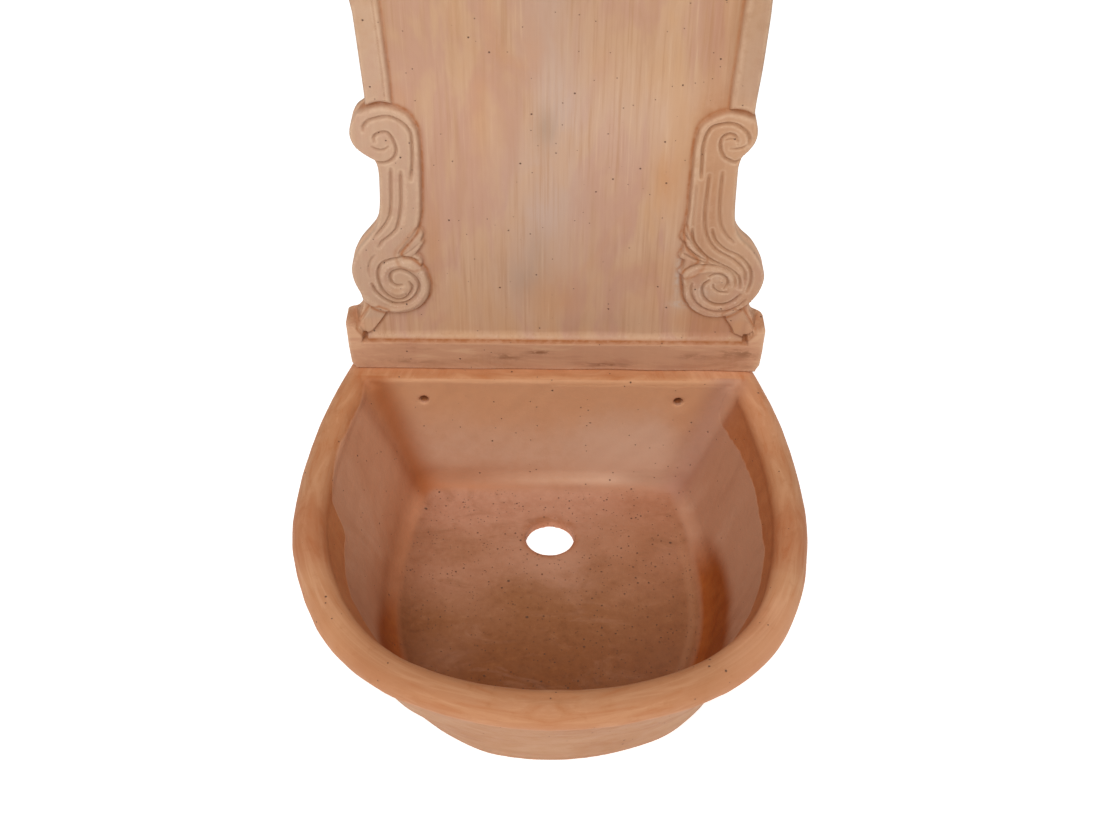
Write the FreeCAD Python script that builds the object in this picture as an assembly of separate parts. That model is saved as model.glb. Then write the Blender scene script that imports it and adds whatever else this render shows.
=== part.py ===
import FreeCAD, Part
import math
import os

# Garden wall fountain: a terracotta basin, a terracotta back panel standing on
# its rim, and a brass bib tap.
# Millimetres. X runs to the right, Y towards the wall, Z up. The wall is the
# plane Y = 0. The origin is on the wall, midway between the two fixing holes.

V = FreeCAD.Vector

# Clearances
static_gap = 0.3
running_gap = 0.05
thread_gap = 0.12

# Basin: levels are measured down from the top of the rim, and every level of
# the wall is the rim's outer line moved inwards
rim_top_z = 30.0
rim_roll_r = 16.5
rim_half = 247.0
rim_wide_y = -216.0
rim_reach = 255.5
rim_side_r = 330.0
rim_back_r = 714.0
side_turn = 25.0
corner_turn = 65.0
back_turn = 25.0
ledge_depth = 42.0
ledge_edge_r = 5.0
flange_height = 52.0
basin_height = 169.0
floor_thickness = 14.0
wall_top_inset = 15.0
base_inset = 76.0
floor_inset = 84.0
floor_fillet_r = 30.0
core_inset = floor_inset + floor_fillet_r
core_overlap = 4.0
base_back_y = -38.0
floor_back_y = -44.0
back_fillet_r = 26.0
corner_fillet_r = 20.0

# Holes in the basin
fixing_spacing = 272.0
fixing_hole_r = 5.0
drain_y = -122.0
drain_r = 26.0
drain_chamfer = 2.0

# Panel: levels are measured up from the top of the rim
field_depth = 16.0
plinth_depth = 26.0
strip_relief = 5.0
scroll_relief = 7.0
leaf_relief = 5.0
plinth_half = 211.0
block_half = 216.3
plinth_step_z = 36.0
block_top_z = 60.0
block_inner_x = 191.0
block_root_step = 2.0
bevel_top_z = 46.0
cove_mid = (3.0, 3.6)
groove_r = 1.3
notch_width = 6.0
notch_height = 8.0
notch_depth = 3.5
strip_foot_half = 179.5
strip_foot_z = 308.0
arch_radius = 189.0
arch_z = 470.0
strip_width = 24.5
strip_foot_sag = 3.0
strip_foot_drop = 5.0
strip_end = ((187.0, 80.0), (169.0, 76.0), (183.0, 47.0))

# Console scroll, right-hand side, as X and height on the panel
neck_x = 172.0
neck_top_z = 251.5
neck_foot_x = 174.0
neck_foot_z = 190.0
upper_centre = (161.0, 278.5)
upper_r = 29.5
stem_inner_x = 129.0
swirl_points = ((177.8, 173.0), (185.0, 160.5), (194.5, 150.0), (202.5, 138.0), (207.6, 125.0), (208.6, 112.0),
                (205.0, 100.0))
swirl_foot = (197.5, 88.0)
lower_bottom = (164.0, 69.5)
lower_inner = (128.0, 110.0)
coil_points = ((130.5, 123.0), (139.0, 136.0))
stem_crook = (151.0, 145.0)
stem_turn_points = ((140.5, 163.0), (133.5, 178.0))
stem_turn_top = (129.0, 194.0)

# Raised spiral beads, each a chain of tangent arcs whose radius shrinks by a
# fixed ratio every quarter turn
bead_half = 4.2
bead_top_half = 1.8
bead_height = 3.2
bead_margin = 0.6
upper_bead_r0 = 28.0
upper_shrink = 0.80
lower_bead_r0 = 38.5
lower_shrink = 0.82
quarter_turns = 6
stem_bead_foot = (154.0, 149.0)
stem_bead_turn_z = 205.0
swirl_bead_top = (176.0, 152.0)
reed_x = (146.0, 159.0)
reed_top_z = 246.0
reed_bottom_z = 196.0

# Leaf between the stem and the lower volute
leaf_root = (151.0, 143.0)
leaf_tips = ((129.6, 176.0), (129.0, 152.0), (130.5, 127.0))
leaf_bulges = (5.0, 4.2, 3.4)

# Tap, centred on its inlet
tap_above_spring = 70.0
tap_z = arch_z + tap_above_spring
tap_hole_r = 11.5
tail_r = 10.48
tail_relief = 1.0
tail_beyond_wall = 14.0
counterbore_r = 21.0
counterbore_depth = 9.0
back_nut_flats = 30.0
back_nut_height = 7.0
seal_thickness = 2.0
seal_r = 20.0
rosette_r = 27.0
rosette_thickness = 6.0
rosette_rim = 1.6
rosette_land = 3.0
collar_flats = 25.0
collar_length = 8.0
barrel_r = 12.0
chamber_y = -66.0
chamber_r = 16.0
chamber_low_z = -17.0
chamber_foot_r = 9.0
chamber_foot_height = 9.0
chamber_top_z = 24.0
inlet_bore_r = 6.5
inlet_drop_r = 5.0
inlet_drop_z = -5.0
seat_z = 5.0
seat_hole_r = 5.5
seat_lip_r = 7.5
seat_lip_height = 1.5
upper_chamber_r = 11.0
outlet_z = 12.0
spout_r = 9.5
spout_bore_r = 6.0
spout_bend_r = 20.0
spout_bend_steps = 3
spout_run = 16.0
spout_end_z = -38.0
spout_lip_r = 11.0
spout_lip_height = 6.0

# Tap headwork, heights above the top of the tap body
bonnet_washer_thickness = 1.2
bonnet_skirt_depth = 7.0
bonnet_hex_flats = 26.0
bonnet_hex_height = 7.0
bonnet_neck_r = 8.5
bonnet_neck_height = 16.0
spindle_r = 4.0
spindle_thread_r = 6.5
spindle_thread_length = 12.0
packing_r = 6.4
packing_height = 5.0
gland_flats = 21.0
gland_wall_depth = 6.0
gland_cap_height = 4.0
jumper_r = 8.0
jumper_height = 3.0
jumper_stem_r = 2.6
jumper_stem_length = 8.0
tap_washer_r = 8.0
tap_washer_height = 4.0
jumper_nut_flats = 7.0
jumper_nut_height = 3.0
jumper_stud_r = 1.9
square_half = 2.8
square_length = 10.0
handle_gap = 2.0
handle_hub_r = 9.0
handle_hub_height = 13.0
handle_arm_length = 27.0
handle_arm_half = 3.6
handle_arm_height = 6.0
handle_lobe_r = 5.6
handle_lobe_height = 8.0
handle_arm_count = 4
screw_shank_r = 1.9
screw_length = 8.0
screw_head_r = 5.5
screw_head_height = 2.4
screw_slot = 1.2


def polar(centre, radius, degrees):
    """Point in plan, with angles turning from +X towards the front."""
    angle = math.radians(degrees)
    return centre + V(math.cos(angle), -math.sin(angle), 0) * radius


def rim_arcs():
    """Right-hand arcs of the rim's outer line: centre, radius, first and last angle.

    The side arc and the front arc are joined by the one corner arc that is
    tangent to both; its radius and the front's follow from the rim's reach.
    """
    cos_a, sin_a = math.cos(math.radians(side_turn)), math.sin(math.radians(side_turn))
    cos_b, sin_b = math.cos(math.radians(corner_turn)), math.sin(math.radians(corner_turn))
    across = rim_side_r - rim_half - rim_side_r * cos_a
    along = rim_reach - rim_side_r * sin_a
    scale = (cos_b - cos_a) * (1 - sin_b) + cos_b * (sin_b - sin_a)
    corner_r = (across * (1 - sin_b) + cos_b * along) / scale
    front_r = ((cos_b - cos_a) * along - (sin_b - sin_a) * across) / scale
    back_centre = V(rim_half - rim_back_r, rim_wide_y, 0)
    side_centre = V(rim_half - rim_side_r, rim_wide_y, 0)
    corner_centre = polar(side_centre, rim_side_r - corner_r, side_turn)
    front_centre = polar(corner_centre, corner_r - front_r, corner_turn)
    return [
        (back_centre, rim_back_r, -back_turn, 0.0),
        (side_centre, rim_side_r, 0.0, side_turn),
        (corner_centre, corner_r, side_turn, corner_turn),
        (front_centre, front_r, corner_turn, 90.0),
    ]


def ring_round(profile):
    """Solid swept round the D from profile edges given as inset and level."""
    sectors = []
    for centre, radius, first, last in rim_arcs():
        out = polar(V(0, 0, 0), 1.0, first)
        edges = []
        for points in profile:
            places = [centre + out * (radius - inset) + V(0, 0, z) for inset, z in points]
            if len(places) == 2:
                edges.append(Part.makeLine(places[0], places[1]))
            else:
                edges.append(Part.Arc(places[0], places[1], places[2]).toShape())
        face = Part.Face(Part.Wire(edges))
        sectors.append(face.revolve(centre, V(0, 0, -1), last - first))
    half = sectors[0].fuse(sectors[1:])
    return half.fuse(mirror_x(half)).removeSplitter()


def core_prism(inset, low, high):
    """Upright prism inside the D, its side a given inset from the rim's line."""
    points = []
    edges = []
    for centre, radius, first, last in rim_arcs():
        places = [polar(centre, radius - inset, angle) for angle in (first, (first + last) / 2, last)]
        edges.append(Part.Arc(places[0], places[1], places[2]).toShape())
        points += places
    front = points[-1]
    back = points[0]
    edges.append(Part.makeLine(front, V(0, back.y, 0)))
    edges.append(Part.makeLine(V(0, back.y, 0), back))
    half = Part.Face(Part.Wire(edges)).extrude(V(0, 0, high - low))
    half.translate(V(0, 0, low))
    return half.fuse(mirror_x(half)).removeSplitter()


def spline(points):
    curve = Part.BSplineCurve()
    curve.interpolate(points)
    return curve.toShape()


def prism(points, push):
    """Straight-sided solid on a closed polygon."""
    face = Part.Face(Part.makePolygon(list(points) + [points[0]]))
    return face.extrude(push)


def cylinder(radius, start, end):
    axis = end - start
    return Part.makeCylinder(radius, axis.Length, start, axis)


def hexagon(flats, start, height):
    """Hexagonal prism standing up from start, two flats facing X."""
    corner_r = flats / math.sqrt(3.0)
    points = []
    for side in range(6):
        angle = math.radians(60 * side + 30)
        points.append(start + V(corner_r * math.cos(angle), corner_r * math.sin(angle), 0))
    return prism(points, V(0, 0, height))


def hexagon_to_wall(flats, start, length):
    """Hexagonal prism running towards the wall from start."""
    shape = hexagon(flats, V(0, 0, 0), length)
    shape.rotate(V(0, 0, 0), V(1, 0, 0), -90)
    shape.translate(start)
    return shape


def revolve_up(profile):
    """Turned solid about Z from radius and height pairs."""
    points = [V(radius, 0, z) for radius, z in profile]
    face = Part.Face(Part.makePolygon(points + [points[0]]))
    return face.revolve(V(0, 0, 0), V(0, 0, 1), 360)


def mirror_x(shape):
    return shape.mirror(V(0, 0, 0), V(1, 0, 0))


def both_sides(shape):
    return [shape, mirror_x(shape)]


def make_inner_back(wide):
    """Back wall's inner side: rounded ledge edge, leaning face, fillet on the floor."""
    roll_z = rim_top_z - rim_roll_r
    floor_z = rim_top_z - basin_height + floor_thickness
    far = wide / 2
    tilt = math.sin(math.radians(45))
    lean = math.atan2(-ledge_depth - floor_back_y, roll_z - floor_z)
    run = back_fillet_r * math.tan(math.pi / 4 - lean / 2)
    mid_angle = (math.pi / 2 - lean) / 2
    fillet_top = (floor_back_y + run * math.sin(lean), floor_z + run * math.cos(lean))
    fillet_foot = (floor_back_y - run, floor_z)
    fillet_mid = (fillet_foot[0] + back_fillet_r * math.sin(mid_angle),
                  floor_z + back_fillet_r * (1 - math.cos(mid_angle)))
    edge_mid = (-ledge_depth + ledge_edge_r * (1 - tilt), rim_top_z - ledge_edge_r * (1 - tilt))
    outline = [
        [(far, rim_top_z), (-ledge_depth + ledge_edge_r, rim_top_z)],
        [(-ledge_depth + ledge_edge_r, rim_top_z), edge_mid, (-ledge_depth, rim_top_z - ledge_edge_r)],
        [(-ledge_depth, rim_top_z - ledge_edge_r), (-ledge_depth, roll_z)],
        [(-ledge_depth, roll_z), fillet_top],
        [fillet_top, fillet_mid, fillet_foot],
        [fillet_foot, (fillet_foot[0], floor_z - 1)],
        [(fillet_foot[0], floor_z - 1), (far, floor_z - 1)],
        [(far, floor_z - 1), (far, rim_top_z)],
    ]
    edges = []
    for points in outline:
        places = [V(-far, y, z) for y, z in points]
        if len(places) == 2:
            edges.append(Part.makeLine(places[0], places[1]))
        else:
            edges.append(Part.Arc(places[0], places[1], places[2]).toShape())
    return Part.Face(Part.Wire(edges)).extrude(V(wide, 0, 0))


def corner_creases(tub):
    """The two upright creases inside, where the back wall meets the side walls."""
    found = []
    for edge in tub.Edges:
        box = edge.BoundBox
        upright = box.ZLength > 2 * back_fillet_r and box.ZMin > rim_top_z - basin_height + 1
        if upright and box.YMin > floor_back_y - ledge_depth and box.YMax < 1 - ledge_depth:
            found.append(edge)
    return found


def make_basin():
    """Tapered D-shaped tub with a rolled rim, a back ledge and bare holes."""
    top_z = rim_top_z
    roll_z = rim_top_z - rim_roll_r
    base_z = rim_top_z - basin_height
    floor_z = base_z + floor_thickness
    tilt = math.sin(math.radians(45))

    # The wall meets the roll where the roll's own circle is this far in
    under_r = rim_roll_r - wall_top_inset
    under_z = roll_z - math.sqrt(rim_roll_r ** 2 - under_r ** 2)
    outer_profile = [
        [(base_inset, base_z), (wall_top_inset, under_z)],
        [(wall_top_inset, under_z), (0, roll_z), (rim_roll_r, top_z)],
        [(rim_roll_r, top_z), (core_inset, top_z)],
        [(core_inset, top_z), (core_inset, base_z)],
        [(core_inset, base_z), (base_inset, base_z)],
    ]
    outside = ring_round(outer_profile).fuse(core_prism(core_inset - core_overlap, base_z, top_z))

    # Inner wall from the roll's inner side to a fillet on the floor
    mouth_inset = 2 * rim_roll_r
    lean = math.atan2(floor_inset - mouth_inset, roll_z - floor_z)
    fillet_run = floor_fillet_r * math.tan(math.pi / 4 - lean / 2)
    fillet_top = (floor_inset - fillet_run * math.sin(lean), floor_z + fillet_run * math.cos(lean))
    fillet_foot = (floor_inset + fillet_run, floor_z)
    fillet_centre = (floor_inset + fillet_run, floor_z + floor_fillet_r)
    mid_angle = (math.pi / 2 - lean) / 2
    fillet_mid = (fillet_centre[0] - floor_fillet_r * math.sin(mid_angle),
                  fillet_centre[1] - floor_fillet_r * math.cos(mid_angle))
    above = top_z + rim_roll_r
    inner_profile = [
        [(rim_roll_r, above), (rim_roll_r, top_z)],
        [(rim_roll_r, top_z), (rim_roll_r * (1 + tilt), roll_z + rim_roll_r * tilt), (mouth_inset, roll_z)],
        [(mouth_inset, roll_z), fillet_top],
        [fillet_top, fillet_mid, fillet_foot],
        [fillet_foot, (core_inset, floor_z)],
        [(core_inset, floor_z), (core_inset, above)],
        [(core_inset, above), (rim_roll_r, above)],
    ]
    inside = ring_round(inner_profile).fuse(core_prism(core_inset - core_overlap, floor_z, above)).removeSplitter()

    # Back wall: flat on the wall down to the flange's foot, then leaning away
    wide = 4 * rim_half
    flange_z = rim_top_z - flange_height
    far = wide / 2
    behind = prism([V(-far, 0, above), V(-far, 0, flange_z), V(-far, base_back_y, base_z),
                    V(-far, base_back_y, base_z - 1), V(-far, far, base_z - 1), V(-far, far, above)],
                   V(wide, 0, 0))
    inside = inside.cut(make_inner_back(wide)).removeSplitter()
    tub = outside.cut(behind).cut(inside)
    tub = tub.makeFillet(corner_fillet_r, corner_creases(tub))
    for side in (-1, 1):
        x = side * fixing_spacing / 2
        tub = tub.cut(cylinder(fixing_hole_r, V(x, 1, 0), V(x, -2 * ledge_depth, 0)))
    drain_foot = V(0, drain_y, base_z - 1)
    drain_top = V(0, drain_y, floor_z + 1)
    tub = tub.cut(cylinder(drain_r, drain_foot, drain_top))
    funnel = Part.makeCone(drain_r, drain_r + 2 * drain_chamfer, 2 * drain_chamfer,
                           V(0, drain_y, floor_z - drain_chamfer), V(0, 0, 1))
    return tub.cut(funnel).removeSplitter()


def on_panel(point, depth):
    """A panel point given as X and height, at a depth in front of the wall."""
    return V(point[0], -depth, point[1])


def raise_face(edges, from_depth, to_depth):
    """Solid on a closed outline in the panel's plane, drawn at from_depth."""
    face = Part.Face(Part.Wire(Part.__sortEdges__(edges)))
    return face.extrude(V(0, from_depth - to_depth, 0))


def swirl_edge(depth):
    """Outer edge of the lower volute, from the neck down to its foot."""
    points = [(neck_foot_x, neck_foot_z)] + list(swirl_points) + [swirl_foot]
    return spline([on_panel(p, depth) for p in points])


def line_on(first, second, depth):
    return Part.makeLine(on_panel(first, depth), on_panel(second, depth))


def arc_on(first, middle, last, depth):
    return Part.Arc(on_panel(first, depth), on_panel(middle, depth), on_panel(last, depth)).toShape()


def upper_outer():
    """Outermost point of the upper volute."""
    return (upper_centre[0] + upper_r, upper_centre[1])


def make_slab():
    """The flat body of the panel, whose edge follows the scrolls and the arch."""
    neck_foot = (neck_foot_x, neck_foot_z)
    neck_top = (neck_x, neck_top_z)
    strip_foot = (strip_foot_half, strip_foot_z - strip_foot_drop)
    spring = (arch_radius, arch_z)
    crown = (0.0, arch_z + arch_radius)
    shoulder = (arch_radius * math.sin(math.radians(45)), arch_z + arch_radius * math.cos(math.radians(45)))
    block_corner = (block_half, block_top_z)
    block_root = (swirl_foot[0] + block_root_step, block_top_z)
    edges = [
        line_on((0.0, 0.0), (plinth_half, 0.0), 0),
        line_on((plinth_half, 0.0), block_corner, 0),
        line_on(block_corner, block_root, 0),
        line_on(block_root, swirl_foot, 0),
        swirl_edge(0),
        line_on(neck_foot, neck_top, 0),
        arc_on(neck_top, upper_outer(), strip_foot, 0),
        line_on(strip_foot, spring, 0),
        arc_on(spring, shoulder, crown, 0),
        line_on(crown, (0.0, 0.0), 0),
    ]
    half = raise_face(edges, 0, field_depth)
    return half.fuse(mirror_x(half)).removeSplitter()


def make_plinth():
    """Plinth band with raised end blocks, a cove above it and a fine groove."""
    half_points = [(0, 0), (plinth_half, 0), (block_half, block_top_z),
                   (swirl_foot[0], block_top_z), (block_inner_x, plinth_step_z + notch_height),
                   (block_inner_x, plinth_step_z), (0, plinth_step_z)]
    half = prism([on_panel(p, 0) for p in half_points], V(0, -plinth_depth, 0))
    band = half.fuse(mirror_x(half)).removeSplitter()
    low = V(-block_inner_x, -plinth_depth + groove_r, plinth_step_z)
    corner = V(-block_inner_x, 1 - field_depth, plinth_step_z)
    high = V(-block_inner_x, 1 - field_depth, bevel_top_z)
    cove_top = V(-block_inner_x, -field_depth, bevel_top_z)
    mid = V(-block_inner_x, -field_depth - cove_mid[0], plinth_step_z + cove_mid[1])
    cove_face = Part.Face(Part.Wire([
        Part.makeLine(low, corner),
        Part.makeLine(corner, high),
        Part.makeLine(high, cove_top),
        Part.Arc(cove_top, mid, low).toShape(),
    ]))
    cove = cove_face.extrude(V(2 * block_inner_x, 0, 0))
    return band, cove


def plinth_cuts():
    """The groove along the plinth's top edge and the square notches at its ends."""
    groove_y = -plinth_depth
    groove_end = block_inner_x + notch_width
    groove = cylinder(groove_r, V(-groove_end, groove_y, plinth_step_z), V(groove_end, groove_y, plinth_step_z))
    cuts = [groove]
    for side in (-1, 1):
        x = block_inner_x if side > 0 else -block_inner_x - notch_width
        cuts.append(Part.makeBox(notch_width, notch_depth + 1, notch_height,
                                 V(x, -plinth_depth - 1, plinth_step_z)))
    return cuts


def make_strips():
    """Raised border: pilaster strips joined by an arch, and the feet of the strips."""
    inner_r = arch_radius - strip_width
    foot_outer = (strip_foot_half, strip_foot_z)
    foot_inner = (strip_foot_half - strip_width, strip_foot_z)
    foot_middle = (strip_foot_half - strip_width / 2, strip_foot_z + strip_foot_sag)
    tilt = math.sin(math.radians(45))
    edges = [
        arc_on(foot_outer, foot_middle, foot_inner, 0),
        line_on(foot_inner, (inner_r, arch_z), 0),
        arc_on((inner_r, arch_z), (inner_r * tilt, arch_z + inner_r * tilt), (0, arch_z + inner_r), 0),
        line_on((0, arch_z + inner_r), (0, arch_z + arch_radius), 0),
        arc_on((0, arch_z + arch_radius), (arch_radius * tilt, arch_z + arch_radius * tilt),
               (arch_radius, arch_z), 0),
        line_on((arch_radius, arch_z), foot_outer, 0),
    ]
    strip = raise_face(edges, 0, field_depth + strip_relief)
    foot_points = list(strip_end) + [(block_inner_x, plinth_step_z + notch_height), (swirl_foot[0], block_top_z)]
    foot = prism([on_panel(p, 0) for p in foot_points], V(0, -field_depth - strip_relief, 0))
    return both_sides(strip) + both_sides(foot)


def make_scroll_plate():
    """The raised S-shaped body of the right-hand console scroll."""
    stem_top = (stem_inner_x, upper_centre[1])
    crest = (upper_centre[0], upper_centre[1] + upper_r)
    neck_top = (neck_x, neck_top_z)
    low_turn = (upper_centre[0] + upper_r * math.cos(math.radians(-30)),
                upper_centre[1] + upper_r * math.sin(math.radians(-30)))
    inner_coil = [lower_inner] + list(coil_points) + [stem_crook]
    stem_turn = [stem_crook] + list(stem_turn_points) + [stem_turn_top]
    edges = [
        arc_on(stem_top, crest, upper_outer(), 0),
        arc_on(upper_outer(), low_turn, neck_top, 0),
        line_on(neck_top, (neck_foot_x, neck_foot_z), 0),
        swirl_edge(0),
        arc_on(swirl_foot, lower_bottom, lower_inner, 0),
        spline([on_panel(p, 0) for p in inner_coil]),
        spline([on_panel(p, 0) for p in stem_turn]),
        line_on(stem_turn_top, stem_top, 0),
    ]
    return raise_face(edges, 0, field_depth + scroll_relief)


def bead_piece(start, heading, turn_r, degrees):
    """One length of bead on the plate: straight, or round a bend to the right.

    turn_r is the bend's radius, negative to the left, or None for a straight
    run whose length is given in place of degrees. Gives the solid, the point
    reached and the heading there.
    """
    depth = field_depth + scroll_relief
    point = on_panel(start, depth)
    ahead = V(heading[0], 0, heading[1])
    right = V(ahead.z, 0, -ahead.x)
    crest = point - V(0, bead_height, 0)
    section = Part.Face(Part.makePolygon([
        point - right * bead_half,
        crest - right * bead_top_half,
        crest + right * bead_top_half,
        point + right * bead_half,
        point - right * bead_half,
    ]))
    if turn_r is None:
        end = point + ahead * degrees
        return section.extrude(ahead * degrees), (end.x, end.z), heading
    centre = point + right * turn_r
    angle = degrees if turn_r > 0 else -degrees
    solid = section.revolve(centre, V(0, 1, 0), angle)
    turn = FreeCAD.Rotation(V(0, 1, 0), angle)
    end = centre + turn.multVec(point - centre)
    ahead = turn.multVec(ahead)
    return solid, (end.x, end.z), (ahead.x, ahead.z)


def bead_end(place):
    """Rounded end of a bead: a low cone with the bead's own sides."""
    base = on_panel(place, field_depth + scroll_relief)
    return Part.makeCone(bead_half, bead_top_half, bead_height, base, V(0, -1, 0))


def spiral(start, heading, first_r, shrink):
    """Quarter turns that close in by a fixed ratio; also the point reached."""
    parts = []
    place = start
    radius = first_r
    for quarter in range(quarter_turns):
        solid, place, heading = bead_piece(place, heading, radius, 90.0)
        parts.append(solid)
        radius = radius * shrink
    return parts, place


def lead_in(free_end, fixed_end, sideways):
    """Bead from a free end to an end where it runs upright.

    sideways is +1 when the free end lies to the right of the upright line.
    """
    across = abs(free_end[0] - fixed_end[0])
    rise = abs(free_end[1] - fixed_end[1])
    radius = (across ** 2 + rise ** 2) / (2 * across)
    degrees = math.degrees(math.asin(rise / radius))
    upward = 1 if fixed_end[1] > free_end[1] else -1
    solid, place, heading = bead_piece(fixed_end, (0, -upward), radius * sideways * -upward, degrees)
    return solid


def reed(x):
    """Upright reed on the stem, with bevelled sides."""
    solid, place, heading = bead_piece((x, reed_bottom_z), (0, 1), None, reed_top_z - reed_bottom_z)
    return solid


def make_scroll_beads():
    """Spiral beads: one from the stem into the upper eye, one from the neck into the lower."""
    edge_x = stem_inner_x + bead_half + bead_margin
    stem_turn = (edge_x, stem_bead_turn_z)
    spring = (edge_x, upper_centre[1] + upper_r - bead_half - bead_margin - upper_bead_r0)
    parts = [lead_in(stem_bead_foot, stem_turn, 1)]
    straight, place, heading = bead_piece(stem_turn, (0, 1), None, spring[1] - stem_turn[1])
    turns, upper_end = spiral(spring, (0, 1), upper_bead_r0, upper_shrink)
    parts += [straight] + turns

    outermost = (max(point[0] for point in swirl_points) - bead_half - bead_margin,
                 lower_bottom[1] + bead_half + bead_margin + lower_bead_r0)
    parts.append(lead_in(swirl_bead_top, outermost, -1))
    turns, lower_end = spiral(outermost, (0, -1), lower_bead_r0, lower_shrink)
    parts += turns
    parts += [bead_end(place) for place in (stem_bead_foot, upper_end, swirl_bead_top, lower_end)]
    parts += [reed(x) for x in reed_x]
    return parts


def make_leaf():
    """Three pointed lobes in the crook of the stem."""
    lobes = []
    for tip, bulge in zip(leaf_tips, leaf_bulges):
        root = on_panel(leaf_root, 0)
        end = on_panel(tip, 0)
        along = (end - root).normalize()
        across = V(-along.z, 0, along.x)
        middle = (root + end) * 0.5
        left = Part.Arc(root, middle + across * bulge, end).toShape()
        right = Part.Arc(end, middle - across * bulge, root).toShape()
        face = Part.Face(Part.Wire([left, right]))
        lobes.append(face.extrude(V(0, -field_depth - leaf_relief, 0)))
    return lobes


def make_panel():
    """One fired piece: slab, plinth, border, console scrolls and leaves."""
    band, cove = make_plinth()
    raised = [band, cove] + make_strips()
    for piece in [make_scroll_plate()] + make_scroll_beads() + make_leaf():
        raised += both_sides(piece)
    panel = make_slab().fuse(raised)
    for cut in plinth_cuts():
        panel = panel.cut(cut)
    panel = panel.cut(cylinder(tap_hole_r, V(0, 1, tap_z), V(0, -2 * field_depth, tap_z)))
    panel = panel.cut(cylinder(counterbore_r, V(0, 1, tap_z), V(0, -counterbore_depth, tap_z)))
    panel.translate(V(0, 0, rim_top_z))
    return panel.removeSplitter()


# Tap pieces are built about the inlet's height and then lifted into place
tap_lift = V(0, 0, rim_top_z + tap_z)
rosette_back_y = -field_depth - seal_thickness
rosette_front_y = rosette_back_y - rosette_thickness
head_axis = V(0, chamber_y, 0)
washer_top_z = chamber_top_z + bonnet_washer_thickness
valve_top_z = seat_z + seat_lip_height + tap_washer_height + jumper_height
bonnet_top_z = washer_top_z + bonnet_hex_height + bonnet_neck_height
gland_top_z = bonnet_top_z + gland_cap_height
handle_z = gland_top_z + handle_gap


def place(shape):
    """Lift a tap piece to the tap's height."""
    shape.translate(tap_lift)
    return shape


def place_head(shape):
    """Move a headwork piece onto the valve's axis and lift it."""
    shape.translate(head_axis)
    return place(shape)


def make_seal():
    ring = cylinder(seal_r, V(0, -field_depth, 0), V(0, rosette_back_y, 0))
    hole = cylinder(tail_r + static_gap, V(0, 0, 0), V(0, 2 * rosette_back_y, 0))
    return place(ring.cut(hole))


def make_rosette():
    """Domed wall flange round the tap's tail."""
    inner = tail_r + static_gap
    face_r = collar_flats / 2 + rosette_land
    profile = [(inner, 0.0), (rosette_r, 0.0), (rosette_r, rosette_rim),
               (face_r, rosette_thickness), (inner, rosette_thickness)]
    shape = revolve_up(profile)
    shape.rotate(V(0, 0, 0), V(1, 0, 0), 90)
    shape.translate(V(0, rosette_back_y, 0))
    return place(shape)


def make_back_nut():
    start = V(0, -counterbore_depth, 0)
    nut = hexagon_to_wall(back_nut_flats, start, back_nut_height)
    return place(nut.cut(cylinder(tail_r + thread_gap, V(0, 5, 0), V(0, -2 * counterbore_depth, 0))))


def spout_path():
    """Outlet line: forward from the valve chamber, round a mitred bend, then down."""
    start = V(0, chamber_y, outlet_z)
    bend_start = V(0, chamber_y - chamber_r - spout_run + spout_bend_r / 2, outlet_z)
    bend_centre = bend_start + V(0, 0, -spout_bend_r)
    half_step = math.radians(45.0 / spout_bend_steps)
    corner_r = spout_bend_r / math.cos(half_step)
    points = [start]
    for step in range(spout_bend_steps):
        angle = half_step * (2 * step + 1)
        points.append(bend_centre + V(0, -corner_r * math.sin(angle), corner_r * math.cos(angle)))
    points.append(V(0, bend_start.y - spout_bend_r, spout_end_z))
    return points


def pipe_along(points, radius):
    """Round bar with mitred corners."""
    path = Part.makePolygon(points)
    section = Part.Wire(Part.makeCircle(radius, points[0], points[1] - points[0]))
    return path.makePipeShell([section], True, True, 1)


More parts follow.
